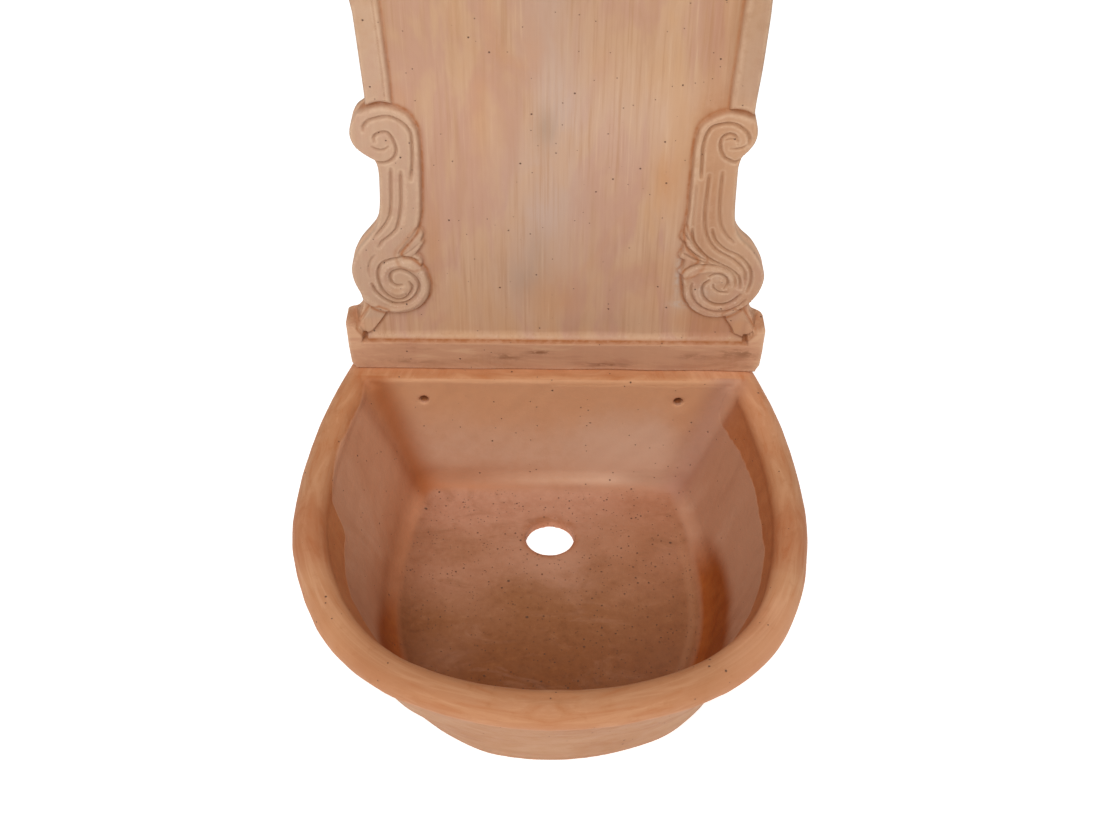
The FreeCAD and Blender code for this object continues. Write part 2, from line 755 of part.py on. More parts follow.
def make_tap_body():
    """Bib tap body: threaded tail, spanner collar, barrel, valve chamber, spout."""
    nut_back_y = back_nut_height - counterbore_depth
    supply_end = cylinder(tail_r, V(0, tail_beyond_wall, 0), V(0, 0, 0))
    relief = cylinder(tail_r - tail_relief, V(0, 1, 0), V(0, nut_back_y - 1, 0))
    tail = cylinder(tail_r, V(0, nut_back_y, 0), V(0, rosette_front_y, 0))
    collar = hexagon_to_wall(collar_flats, V(0, rosette_front_y - collar_length, 0), collar_length)
    barrel = cylinder(barrel_r, V(0, rosette_front_y, 0), V(0, chamber_y, 0))
    chamber_profile = [(0, chamber_low_z), (chamber_foot_r, chamber_low_z),
                       (chamber_r, chamber_low_z + chamber_foot_height), (chamber_r, chamber_top_z),
                       (0, chamber_top_z)]
    chamber = revolve_up(chamber_profile)
    chamber.translate(head_axis)
    route = spout_path()
    end = route[-1]
    spout = pipe_along(route, spout_r)
    lip = cylinder(spout_lip_r, end, end + V(0, 0, spout_lip_height))
    body = tail.fuse([relief, supply_end, collar, barrel, chamber, spout, lip])

    inlet = cylinder(inlet_bore_r, V(0, tail_beyond_wall + 1, 0), V(0, rosette_front_y, 0))
    drop = cylinder(inlet_drop_r, V(0, rosette_front_y + 1, 0), V(0, chamber_y, inlet_drop_z))
    well = cylinder(seat_hole_r, V(0, chamber_y, inlet_drop_z), V(0, chamber_y, chamber_top_z))
    room = cylinder(upper_chamber_r, V(0, chamber_y, seat_z), V(0, chamber_y, chamber_top_z + 1))
    waterway = pipe_along(route[:-1] + [end - V(0, 0, 1)], spout_bore_r)
    body = body.cut([inlet, drop, well, room, waterway])
    lip_ring = cylinder(seat_lip_r, V(0, chamber_y, seat_z - 1), V(0, chamber_y, seat_z + seat_lip_height))
    lip_ring = lip_ring.cut(cylinder(seat_hole_r, V(0, chamber_y, seat_z - 2), V(0, chamber_y, seat_z + 4)))
    body = body.fuse(lip_ring)
    return place(body.removeSplitter())


def make_bonnet_washer():
    profile = [(upper_chamber_r + static_gap, chamber_top_z), (chamber_r - 2.0, chamber_top_z),
               (chamber_r - 2.0, washer_top_z), (upper_chamber_r + static_gap, washer_top_z)]
    return place_head(revolve_up(profile))


def make_bonnet():
    """Headwork body: skirt in the chamber, hexagon, neck and gland pocket."""
    skirt_r = upper_chamber_r - static_gap
    skirt_z = chamber_top_z - bonnet_skirt_depth
    hex_top_z = washer_top_z + bonnet_hex_height
    skirt = cylinder(skirt_r, V(0, 0, skirt_z), V(0, 0, washer_top_z))
    flats = hexagon(bonnet_hex_flats, V(0, 0, washer_top_z), bonnet_hex_height)
    neck = cylinder(bonnet_neck_r, V(0, 0, hex_top_z), V(0, 0, bonnet_top_z))
    bonnet = skirt.fuse([flats, neck])
    thread_bore = cylinder(spindle_thread_r + static_gap, V(0, 0, skirt_z - 1), V(0, 0, hex_top_z))
    stem_bore = cylinder(spindle_r + running_gap, V(0, 0, skirt_z), V(0, 0, bonnet_top_z + 1))
    pocket = cylinder(packing_r + static_gap, V(0, 0, bonnet_top_z - packing_height), V(0, 0, bonnet_top_z + 1))
    return place_head(bonnet.cut([thread_bore, stem_bore, pocket]).removeSplitter())


def make_packing():
    low = bonnet_top_z - packing_height
    bore = spindle_r + running_gap
    profile = [(bore, low), (packing_r, low), (packing_r, bonnet_top_z), (bore, bonnet_top_z)]
    return place_head(revolve_up(profile))


def make_gland_nut():
    """Cap nut over the neck that holds the packing down."""
    low = bonnet_top_z - gland_wall_depth
    nut = hexagon(gland_flats, V(0, 0, low), gland_wall_depth + gland_cap_height)
    hollow = cylinder(bonnet_neck_r + static_gap, V(0, 0, low - 1), V(0, 0, bonnet_top_z))
    bore = cylinder(spindle_r + running_gap, V(0, 0, low), V(0, 0, gland_top_z + 1))
    return place_head(nut.cut([hollow, bore]))


def make_jumper():
    """Valve plate with a stem up into the spindle and a stud down for the washer."""
    plate_z = seat_z + seat_lip_height + tap_washer_height
    plate = cylinder(jumper_r, V(0, 0, plate_z), V(0, 0, valve_top_z))
    stem = cylinder(jumper_stem_r, V(0, 0, valve_top_z), V(0, 0, valve_top_z + jumper_stem_length))
    stud_z = plate_z - tap_washer_height - jumper_nut_height
    stud = cylinder(jumper_stud_r, V(0, 0, stud_z), V(0, 0, plate_z))
    return place_head(plate.fuse([stem, stud]).removeSplitter())


def make_tap_washer():
    low = seat_z + seat_lip_height
    high = low + tap_washer_height
    bore = jumper_stud_r + static_gap
    return place_head(revolve_up([(bore, low), (tap_washer_r, low), (tap_washer_r, high), (bore, high)]))


def make_jumper_nut():
    low = seat_z + seat_lip_height - jumper_nut_height
    nut = hexagon(jumper_nut_flats, V(0, 0, low), jumper_nut_height)
    return place_head(nut.cut(cylinder(jumper_stud_r + thread_gap, V(0, 0, low - 1), V(0, 0, low + 9))))


def make_spindle():
    """Rising spindle: thread, plain stem, square end, socket for the jumper."""
    thread = cylinder(spindle_thread_r, V(0, 0, valve_top_z), V(0, 0, valve_top_z + spindle_thread_length))
    square_z = handle_z
    stem = cylinder(spindle_r, V(0, 0, valve_top_z), V(0, 0, square_z))
    square = Part.makeBox(2 * square_half, 2 * square_half, square_length, V(-square_half, -square_half, square_z))
    spindle = thread.fuse([stem, square])
    socket = cylinder(jumper_stem_r + running_gap, V(0, 0, valve_top_z - 1),
                      V(0, 0, valve_top_z + jumper_stem_length + 1))
    tapped = cylinder(screw_shank_r + thread_gap, V(0, 0, square_z + square_length - screw_length),
                      V(0, 0, square_z + square_length + 1))
    return place_head(spindle.cut([socket, tapped]).removeSplitter())


def make_handle():
    """Four-armed handle with round lobes, seated on the square."""
    hub = cylinder(handle_hub_r, V(0, 0, 0), V(0, 0, handle_hub_height))
    arm_low = (handle_hub_height - handle_arm_height) / 2
    lobe_low = (handle_hub_height - handle_lobe_height) / 2
    parts = []
    for arm in range(handle_arm_count):
        bar = Part.makeBox(handle_arm_length, 2 * handle_arm_half, handle_arm_height,
                           V(0, -handle_arm_half, arm_low))
        lobe = cylinder(handle_lobe_r, V(handle_arm_length, 0, lobe_low),
                        V(handle_arm_length, 0, lobe_low + handle_lobe_height))
        for piece in (bar, lobe):
            piece.rotate(V(0, 0, 0), V(0, 0, 1), 360.0 * arm / handle_arm_count)
            parts.append(piece)
    handle = hub.fuse(parts)
    hole_half = square_half + static_gap
    hole_depth = square_length + static_gap
    hole = Part.makeBox(2 * hole_half, 2 * hole_half, hole_depth, V(-hole_half, -hole_half, 0))
    screw_hole = cylinder(screw_shank_r + static_gap, V(0, 0, 0), V(0, 0, handle_hub_height + 1))
    handle = handle.cut([hole, screw_hole])
    handle.translate(V(0, 0, handle_z))
    return place_head(handle.removeSplitter())


def make_handle_screw():
    top = handle_z + handle_hub_height
    head = cylinder(screw_head_r, V(0, 0, top), V(0, 0, top + screw_head_height))
    shank = cylinder(screw_shank_r, V(0, 0, top - screw_length), V(0, 0, top))
    slot = Part.makeBox(2 * screw_head_r, screw_slot, screw_slot,
                        V(-screw_head_r, -screw_slot / 2, top + screw_head_height - screw_slot))
    return place_head(head.fuse(shank).cut(slot).removeSplitter())


pieces = {
    "basin": make_basin,
    "back_panel": make_panel,
    "tap_seal": make_seal,
    "tap_rosette": make_rosette,
    "tap_back_nut": make_back_nut,
    "tap_body": make_tap_body,
    "bonnet_washer": make_bonnet_washer,
    "tap_bonnet": make_bonnet,
    "gland_packing": make_packing,
    "gland_nut": make_gland_nut,
    "valve_jumper": make_jumper,
    "valve_washer": make_tap_washer,
    "valve_nut": make_jumper_nut,
    "tap_spindle": make_spindle,
    "tap_handle": make_handle,
    "handle_screw": make_handle_screw,
}

os.makedirs("parts", exist_ok=True)
for node, make in pieces.items():
    shape = make()
    shape.exportStep("parts/" + node + ".step")
    box = shape.BoundBox
    print("%-15s solids %d valid %s volume %.1f cm3 box %.1f %.1f %.1f to %.1f %.1f %.1f" % (
        node, len(shape.Solids), shape.isValid(), shape.Volume / 1000,
        box.XMin, box.YMin, box.ZMin, box.XMax, box.YMax, box.ZMax))
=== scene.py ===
"""Looks of the garden wall fountain: carved panel, hand-worked basin, brass tap, floor, lights and camera.

The panel's front is built here as a fine relief that takes the place of the frame's panel. Its lines are in
millimetres: X to the right from the middle, and height above the basin's rim.
"""
import math

import bmesh
import bpy
import numpy as np
from mathutils import Matrix, Vector
from mathutils.geometry import delaunay_2d_cdt


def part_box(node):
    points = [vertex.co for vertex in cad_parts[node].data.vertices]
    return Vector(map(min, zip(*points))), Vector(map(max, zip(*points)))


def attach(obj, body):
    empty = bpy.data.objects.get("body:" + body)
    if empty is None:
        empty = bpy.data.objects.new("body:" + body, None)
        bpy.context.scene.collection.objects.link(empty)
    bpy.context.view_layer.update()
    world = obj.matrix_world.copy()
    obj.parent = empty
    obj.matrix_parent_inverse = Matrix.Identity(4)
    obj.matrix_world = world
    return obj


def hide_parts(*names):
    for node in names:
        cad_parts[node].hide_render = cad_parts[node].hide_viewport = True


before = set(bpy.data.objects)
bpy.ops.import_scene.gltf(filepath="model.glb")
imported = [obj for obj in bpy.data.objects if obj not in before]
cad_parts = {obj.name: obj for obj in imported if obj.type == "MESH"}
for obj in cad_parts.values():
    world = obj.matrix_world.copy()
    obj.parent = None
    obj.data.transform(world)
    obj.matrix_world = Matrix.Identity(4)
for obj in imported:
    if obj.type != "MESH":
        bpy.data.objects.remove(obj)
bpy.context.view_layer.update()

MM = 0.001
RIM_TOP = 0.030
FLOOR_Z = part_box("basin")[0].z

# Depths of the panel's faces in front of the wall, heights of its plinth, then its arch and the tap's hole
FIELD, STRIP, PLATE, LEAF, BAND = 16.0, 21.0, 23.0, 21.5, 26.0
BAND_TOP, COVE_TOP = 36.0, 46.0
CARVING_DEPTH = 1.15
SPRING_HEIGHT, ARCH_RADIUS, ARCH_LEAN, STRIP_WIDTH = 470.0, 189.0, 3.0, 24.5
TAP_HEIGHT, TAP_HOLE_R = 540.0, 11.5
COUNTERBORE_R, COUNTERBORE_DEPTH = 21.0, 9.0

# The notches at both ends of the plinth's band, from side to side
NOTCHES = ((-197.9, -192.5), (199.8, 205.4))


def pairs(*numbers):
    """Points from their coordinates, two by two."""
    return list(zip(numbers[::2], numbers[1::2]))


# Outer edge of the panel on each side, from the foot up to the strip
LEFT_EDGE = pairs(-207.3, 0, -211.6, 7.1, -213, 30, -213.7, 58, -213.2, 61, -209, 63.6, -203, 65.2, -198.4, 69.5,
    -195.8, 76, -194.4, 84, -195.3, 93.5, -198.4, 101.6, -200.8, 109, -202.2, 118, -202, 127, -198.8, 138, -191.7,
    151.7, -182.8, 163.1, -175.5, 172.8, -171.7, 183, -169.6, 194, -168.2, 204, -167.2, 221, -166.8, 238, -168.4,
    248.5, -173.4, 254, -181.4, 260.2, -187, 266, -190.2, 273, -191.1, 280, -190, 287.5, -187.4, 295, -183.1,
    301.8, -177.6, 306.2, -174.6, 309.5, -174.3, 318, -175.8, 351, -178.4, 400)
RIGHT_EDGE = pairs(216.4, 0, 220.6, 8, 221.8, 26, 222.4, 52, 221.9, 55.6, 218.6, 60.5, 213, 64, 208.2, 66.6, 205.4,
    72, 204, 79, 204.2, 86, 206.9, 92.6, 210.3, 98.6, 213.3, 108, 214.5, 117, 213.6, 125, 210.8, 133, 205.7, 143,
    198.5, 153.9, 188.6, 163.6, 183.2, 171.2, 180.2, 180, 178.3, 190, 177.2, 204, 176.7, 220, 176.3, 238, 176.4, 249,
    178.9, 258.5, 183.6, 264.6, 188.3, 271.6, 190.6, 279.6, 190.6, 287, 189.2, 294, 187.6, 300, 186.3, 306, 187.3,
    325.6, 189.2, 354.6, 190.6, 400)

# Inner edges of the strips, and the strips' lower ends above the volutes
LEFT_STRIP_EDGE = pairs(-148.7, 310.2, -149.6, 318, -150.1, 337.5, -150.9, 352.4, -153.4, 400)
LEFT_STRIP_FOOT = pairs(-178, 307.4, -171.8, 309.2, -166.1, 311.5, -159.6, 312.6, -153.2, 311.4, -148.7, 310.2)
RIGHT_STRIP_EDGE = pairs(162, 308, 162, 320.4, 162.6, 335.5, 163.7, 355.4, 165.6, 400)
RIGHT_STRIP_FOOT = pairs(190, 300, 183.2, 303.4, 180.1, 305.4, 176.2, 307, 169.7, 308.1, 162, 308)

# Scroll plates: crest under the strip, inner edge down the stem, then round the lower coil
LEFT_PLATE = pairs(-179.5, 304.5, -171.8, 307.2, -166.1, 309.3, -159.6, 310.2, -153.2, 309.6, -148.2, 308, -141.7,
    305.1, -134.6, 299.9, -130.4, 292.7, -127.2, 284.3, -125.9, 273.7, -125.9, 254.3, -126.2, 237.8, -127.2, 215.4,
    -128.1, 198.2, -129.9, 184.3, -133.9, 172.5, -139.4, 163.6, -145.6, 155, -151.4, 146.5, -149.6, 139.6, -141.5,
    137.6, -134.6, 132.4, -128.9, 124.6, -125.6, 115, -124, 105.6, -125.1, 95.5, -128.6, 86.6, -135.8, 77.9,
    -145.3, 72.6, -156.8, 70.1, -167.1, 70.7, -177.2, 73.8, -187.2, 79.2, -196, 87)
RIGHT_PLATE = pairs(191, 298.5, 183.2, 301.5, 176.2, 304.4, 169.7, 305.8, 162.3, 306.8, 155.1, 305, 148, 301.7, 141,
    296.6, 136, 289.3, 134, 280.5, 132.9, 269.8, 132.3, 254.7, 132.4, 237.1, 132.1, 218, 132.2, 200.9, 131.4, 187,
    130.8, 171.8, 133.2, 158.9, 139, 149.5, 146.5, 141.6, 146, 136, 137.9, 131, 132, 124.2, 130.9, 119,
    132.2, 110.5, 133.3, 102.1, 135, 92.4, 141, 81, 149.8, 73.2, 160.5, 68.6, 171.9, 67.9, 184, 71.3, 193.6, 78.1,
    204, 87)

# Leaves that fill the crook between stem and coil, with their tips on the field
LEFT_LEAF = pairs(-131.5, 176, -127.4, 168.6, -129.4, 160.4, -127.9, 157.8, -131.4, 150.5, -135.6, 143.8, -131.7,
    139.6, -130.2, 132, -133.6, 127.6, -150, 130, -156, 146, -146, 160, -137, 172)
RIGHT_LEAF = pairs(130.2, 182, 128.2, 171.4, 126.8, 164.9, 131.4, 159.9, 129.6, 151, 126.4, 142.8, 131.8, 138.4,
    130.4, 129.4, 127.4, 123.2, 133.4, 119.6, 146, 126, 154, 142, 143, 156, 136, 170)

# Feet of the strips beside the plinth's end blocks
LEFT_FOOT = pairs(-201.9, 53.3, -187.4, 76.6, -178, 80, -168.8, 76, -170.2, 70.6, -178.4, 57.5, -186.6, 45.9, -195,
    42.4)
RIGHT_FOOT = pairs(211.4, 50.5, 197, 76.6, 186, 80, 176.8, 74, 180.6, 63.9, 186.6, 54.4, 189.5, 46.5, 202.2, 40.6)

# Front faces of the end blocks, above the band
LEFT_BLOCK = pairs(-225, 30, -225, 60.4, -213.7, 60.4, -201.9, 53.3, -195, 42.4, -197.9, 38, -197.9, 30)
RIGHT_BLOCK = pairs(235, 30, 235, 54.8, 222.4, 54.8, 211.4, 50.5, 202.2, 40.6, 205.4, 38, 205.4, 30)

# Carved strokes: line, half width, height (ridges) or depth (grooves), and how much dark stain and painted shade stays
# in it
LEFT_STROKES = [
    (pairs(-155.2, 315, -155.6, 330, -156.4, 352, -159, 400, -161.5, 440), 1.3, -0.9, 0.8),
    (pairs(-177.4, 284.9, -177.1, 289.1, -174, 293.3, -171, 295.9, -164.3, 298.1, -155.9, 299.7, -149.5, 298.8,
     -142.4, 294.7, -137.1, 289.5, -134.6, 285.3, -133, 280, -133, 265, -133.9, 248.7, -135.9, 232.1), 2.3, -2.6,
     1),
    (pairs(-168, 273.3, -168.2, 277.5, -165.7, 280.9, -160.8, 283.1, -155.2, 282.9, -151.4, 277.7, -149, 271.3, -148,
     264.9, -149.4, 258.4, -153.5, 253.4, -159.4, 250.7, -166, 250.6, -172.5, 253.2), 2.2, -2.6, 1),
    (pairs(-170.4, 267.9, -166.8, 265.2, -161.3, 264.2, -157.4, 265.9, -155.3, 268), 1.9, -2, 0.8),
    (pairs(-145.1, 240.6, -146.2, 222, -147.2, 203.8, -149, 192.3, -150.8, 184.1, -154, 174.7, -160.4, 167.2, -167.8,
     161, -172.3, 154.3), 2.4, -2.4, 0.8),
    (pairs(-154.4, 243.8, -155.6, 222, -156.9, 203.7, -159.9, 188.7, -166.6, 176.9, -176.4, 165), 2.4, -2.2, 0.7),
    (pairs(-134.5, 136.5, -144.3, 140.1, -154.3, 140.1, -164.5, 137.6, -171.9, 132.4, -175.4, 123.8, -175.6, 113.8,
     -173.9, 105.1, -169.9, 96.9, -163.8, 91, -156.6, 88.6, -150.1, 90.6, -144.6, 96.6, -142.1, 104.2, -144.6,
     111.4), 2.2, -2.8, 1),
    (pairs(-182.7, 108.8, -179.5, 98.7, -171.9, 89.9, -162.1, 84.3, -151.8, 84.6, -142.2, 90, -136, 100.5, -135.5,
     110.5, -140.5, 119.2, -148.3, 124.7, -155.2, 125.8, -161.5, 122.7, -163.6, 116.5, -162.4, 110.2, -157.5, 106.5,
     -152.4, 107.6), 2.3, -3, 1),
    (pairs(-192.3, 95, -184.8, 84.7, -175, 78, -164.9, 76, -154.5, 76.6, -144, 80.6, -135.6, 88, -130.6, 97,
     -129.4, 106.6, -131, 115.3, -135.2, 122.6, -141.2, 128.3, -148.3, 131.9, -155.7, 132.4, -162.8, 130.5, -168,
     125.6, -170.2, 118.1, -169.4, 109.1, -165, 101, -158.9, 97.2, -153.1, 97.9, -149, 101.9), 3, 1.5, -0.5),
    (pairs(-183.5, 118, -184.6, 126, -182.5, 135, -177, 144), 2.2, -1.2, 0.35),
    (pairs(-140.8, 240, -141.8, 212, -143.4, 192, -146.8, 176), 2.6, 0.8, -0.2),
]
RIGHT_STROKES = [
    (pairs(141.1, 237.2, 140.7, 254.8, 140.4, 269.9, 142.3, 281.7, 145.4, 289.1, 149.7, 292.8, 156.1, 294.7, 163.4,
     295.6, 170, 294.1, 175.9, 290.5, 181.1, 285.2, 183.6, 278.9, 182.9, 273.9), 2.3, -2.6, 1),
    (pairs(172.5, 277.7, 169.2, 283, 163.5, 284.5, 158.2, 280.8, 156.5, 274.4, 157.6, 266.9, 161, 260.4, 166, 256.7,
     171.9, 254.5, 177.3, 257.3), 2.2, -2.6, 1),
    (pairs(160.3, 278.1, 164.9, 279.2, 169.6, 279.1, 172.6, 277.2, 172.9, 274), 1.5, -1.2, 0.7),
    (pairs(166.8, 269.1, 172.4, 268.8, 177.9, 270.3, 180.9, 273), 1.7, -1.8, 0.8),
    (pairs(137.1, 178.4, 138, 170, 140, 162.4, 145.6, 154, 153.2, 145.6, 161.7, 139.7, 170.1, 134.9, 178.6, 130,
     186.3, 122.7, 190.1, 115.3, 190.8, 106.8), 2.2, -2.7, 0.9),
    (pairs(156.9, 178.2, 157.9, 173, 160.5, 166.1, 166, 159, 173.5, 153.1, 182.9, 148.4, 190.4, 142.4, 196.2, 135.1,
     200, 126.6, 200.8, 114.1, 198.4, 102.8), 2.2, -2.2, 0.8),
    (pairs(137.4, 228, 137, 205, 137.1, 178.4), 2, -1.2, 0.4),
    (pairs(148.9, 240, 148.2, 215, 148, 196, 150, 178, 155.5, 163, 164, 152.5, 175.5, 145.4, 186, 137, 193.4,
     126.5, 195, 112), 2.4, -2, 0.7),
    (pairs(161.4, 243, 161.2, 220, 162, 200, 164.6, 184, 170.6, 172, 179, 163), 2.4, -1.9, 0.6),
    (pairs(133.8, 127.9, 140.4, 131.9, 148.2, 134.4, 158.2, 135, 168.4, 132.8, 178.3, 127.6, 184.6, 119.4, 185.7,
     109), 2, -2.3, 0.9),
    (pairs(158.6, 116.2, 154, 111.1, 152.5, 103.6, 155.3, 94.7, 161.9, 88.4, 170.3, 86, 179.4, 87.3, 187.1, 92.5,
     191.6, 98.9), 2.3, -2.8, 1),
    (pairs(141.6, 112.6, 141.3, 103.5, 143.6, 94, 149.8, 85.3, 159.5, 79, 170.4, 76.4, 182, 78.6, 191.8, 84.4,
     198.2, 92.8), 2, -1.8, 0.6),
    (pairs(158.2, 121.2, 163, 123.7, 169, 124.4, 175.5, 120.1, 177.6, 112.6, 174.8, 106.6), 1.8, -2.4, 1),
    (pairs(163.1, 111.2, 163.6, 107.4, 166.7, 104.2, 171, 101.7, 178.1, 102), 1.8, -2.2, 1),
    (pairs(137.6, 118, 144.6, 124.4, 153, 128, 162, 129, 171.6, 127.2, 178.6, 121.6, 181.6, 112, 179.6, 101.6),
     2.6, 1.3, -0.4),
    (pairs(145.2, 110, 145.8, 99.5, 150.6, 89.9, 158.9, 83.2, 169.9, 80.8, 181.1, 82.6), 2.6, 1.2, -0.4),
    (pairs(166.5, 116.5, 170.2, 116.6, 171.9, 113.2, 170.2, 109.6), 2.4, 1.2, -0.3),
]
LEAF_STROKES = [
    (pairs(129.9, 171.8, 136, 163, 144.5, 153.5, 151.5, 146.5), 1.7, -1.7, 0.8),
    (pairs(129.6, 159.5, 137.5, 151.5, 146.5, 144.5, 154.5, 141), 1.6, -1.6, 0.9),
    (pairs(131, 148, 139.5, 142.5, 149, 139, 157, 137.8), 1.6, -1.6, 0.9),
    (pairs(129, 164, 136.5, 156.5, 144.5, 149.5), 2.2, 0.9, -0.3),
    (pairs(130.5, 153, 138, 146.8, 147, 141.5), 2, 0.8, -0.3),
]
# The left leaf is worn flatter and points a little lower
LEFT_LEAF_STROKES = [([(-x - 2, h - 1.5) for x, h in line], width, 0.45 * rise, 0.4 * stain)
                     for line, width, rise, stain in LEAF_STROKES[:3]]

# Soft spots of colour on the panel: place, height, half width, half height, strength
PANEL_SPOTS = {
    # Greyish blooms, ash marks and orange smears on the field
    "bloom": [(-8, 200, 34, 70, 1.0), (4, 315, 24, 60, 0.9), (-25, 100, 30, 40, 0.8), (66, 295, 40, 50, 0.4),
              (-4, 410, 30, 60, 0.5)],
    "ash": [(-7, 285, 12, 22, 0.60), (-22, 108, 20, 28, 0.50), (-14, 150, 10, 22, 0.25), (60, 60, 60, 12, 0.15)],
    "smear": [(-2, 88, 24, 22, 0.8), (110, 225, 14, 34, 0.95), (-118, 150, 9, 60, 0.5), (95, 120, 30, 20, 0.35),
              (-70, 300, 10, 50, 0.35), (150, 60, 30, 12, 0.5)],
    # Dark scuffs on the plinth
    "smudge": [(-47, 17, 16, 5, 0.7), (-13, 24, 12, 3, 0.9), (58, 7, 24, 3, 0.8), (203, 24, 12, 6, 0.8),
               (150, 20, 20, 4, 0.5), (-150, 10, 30, 3, 0.5), (184, 24, 8, 8, 0.45), (208, 8, 7, 5, 0.4)],
    # Chalk round the right-hand lower volute, and warmer clay on the volutes and the right-hand neck
    "chalk": [(128, 120, 4, 26, 0.9), (134, 82, 12, 5, 0.7), (156, 103, 10, 8, 0.35), (171, 121, 8, 8, 0.30)],
    "warm": [(-155, 84, 16, 8, 0.95), (-160, 99, 8, 6, 0.8), (172, 83, 18, 8, 0.8), (150, 300, 20, 22, 0.55),
             (152, 205, 15, 75, 0.85)],
}


def smooth(points, step=1.2):
    """Points at about one step apart on a smooth curve through the given points."""
    p = np.array(points, float)
    p = np.vstack([2 * p[0] - p[1], p, 2 * p[-1] - p[-2]])
    out = []
    for a, b, c, d in zip(p, p[1:], p[2:], p[3:]):
        count = max(1, int(round(np.linalg.norm(c - b) / step)))
        for t in np.arange(count) / count:
            out.append(0.5 * (2 * b + (c - a) * t + (2 * a - 5 * b + 4 * c - d) * t ** 2
                              + (3 * b - a - 3 * c + d) * t ** 3))
    return np.array(out + [p[-2]])


def straight(points, step=1.2):
    """Points at about one step apart on the straight runs between the given points."""
    p = np.array(points, float)
    out = []
    for a, b in zip(p[:-1], p[1:]):
        count = max(1, int(round(np.linalg.norm(b - a) / step)))
        out += [a + (b - a) * t for t in np.arange(count) / count]
    return np.array(out + [p[-1]])


def distance_to(line, x, h, reach):
    """Distance from every point to a polyline; beyond reach it is only said to be far."""
    line = np.asarray(line, float)
    result = np.full(x.shape, 1e3)
    low, high = line.min(0) - reach, line.max(0) + reach
    near = np.nonzero((x > low[0]) & (x < high[0]) & (h > low[1]) & (h < high[1]))[0]
    if not len(near):
        return result
    px, ph = x[near], h[near]
    best = np.full(len(near), 1e6)
    for a, b in zip(line[:-1], line[1:]):
        run = b - a
        length = max(run @ run, 1e-9)
        t = np.clip(((px - a[0]) * run[0] + (ph - a[1]) * run[1]) / length, 0, 1)
        gap = (px - a[0] - t * run[0]) ** 2 + (ph - a[1] - t * run[1]) ** 2
        best = np.minimum(best, gap)
    result[near] = np.sqrt(best)
    return result


def inside(polygon, x, h):
    """Whether each point lies in the closed polygon."""
    p = np.asarray(polygon, float)
    result = np.zeros(x.shape, bool)
    for (x0, h0), (x1, h1) in zip(p, np.roll(p, -1, axis=0)):
        if h0 == h1:
            continue
        crosses = (h0 > h) != (h1 > h)
        result ^= crosses & (x < (x1 - x0) * (h - h0) / (h1 - h0) + x0)
    return result


def closed(polygon):
    """The polygon with its first point again at its end."""
    return np.vstack([polygon, polygon[:1]])


def into(polygon, x, h, reach=12):
    """Signed distance to a polygon's edge, positive inside it."""
    gap = distance_to(closed(polygon), x, h, reach)
    return np.where(inside(polygon, x, h), gap, -gap)


def ease(t):
    """Smooth step from 0 to 1."""
    t = np.clip(t, 0, 1)
    return t * t * (3 - 2 * t)


def bell(value, middle, width):
    """Soft hump, 1 at the middle and next to nothing two widths away."""
    return np.exp(-((value - middle) / width) ** 2)


def quarter_round(distance, radius):
    """Rise from 0 at the edge to 1 at one radius inside, round as a quarter of a circle."""
    t = np.clip(distance / radius, 0, 1)
    return np.sqrt(1 - (1 - t) ** 2)


def patches(spots, across, along):
    """Soft spots added up, from 0 to 1."""
    return np.clip(sum(share * np.exp(-((across - a) / wide) ** 2 - ((along - b) / tall) ** 2)
                       for a, b, wide, tall, share in spots), 0, 1)


def arch_line(radius):
    """Half round from the left springing to the right one."""
    angles = np.radians(np.linspace(180, 0, 121))
    return [(radius * math.cos(a) + ARCH_LEAN, SPRING_HEIGHT + radius * math.sin(a)) for a in angles]


OUTLINE = np.vstack([
    straight(LEFT_EDGE[:4])[:-1], smooth(LEFT_EDGE[3:]),
    smooth([LEFT_EDGE[-1], (-184.2, 440)] + arch_line(ARCH_RADIUS) + [(190.6, 440), RIGHT_EDGE[-1]], 2)[1:-1],
    smooth(RIGHT_EDGE[3:])[::-1], straight(RIGHT_EDGE[:4])[::-1][1:],
    straight([RIGHT_EDGE[0], LEFT_EDGE[0]], 1.5)[1:-1],
])
# The strips' shape is carried past the panel's outer edge
STRIP_SHAPE = np.vstack([
    [(-260, 307.4)], smooth(LEFT_STRIP_FOOT), smooth(LEFT_STRIP_EDGE)[1:],
    smooth([(-155.6, 440)] + arch_line(ARCH_RADIUS - STRIP_WIDTH) + [(167.2, 440)], 2),
    smooth(RIGHT_STRIP_EDGE)[::-1], smooth(RIGHT_STRIP_FOOT)[::-1][1:], [(260, 300), (260, 700), (-260, 700)],
])


def plate_shape(line, outward):
    """Closed shape of a scroll plate, carried past the panel's outer edge."""
    return np.vstack([smooth(line), [(outward, line[-1][1] - 4), (outward, line[0][1] + 4)]])


def wobble(x, h, seed, size, amount):
    """Slow handmade unevenness, a sum of a few random waves."""
    dice = np.random.default_rng(seed)
    total = np.zeros(x.shape)
    for _ in range(9):
        angle, phase, scale = dice.uniform(0, 2 * math.pi), dice.uniform(0, 2 * math.pi), dice.uniform(0.6, 1.8)
        total += np.sin((x * math.cos(angle) + h * math.sin(angle)) * 2 * math.pi / (size * scale) + phase)
    return total * amount / 3


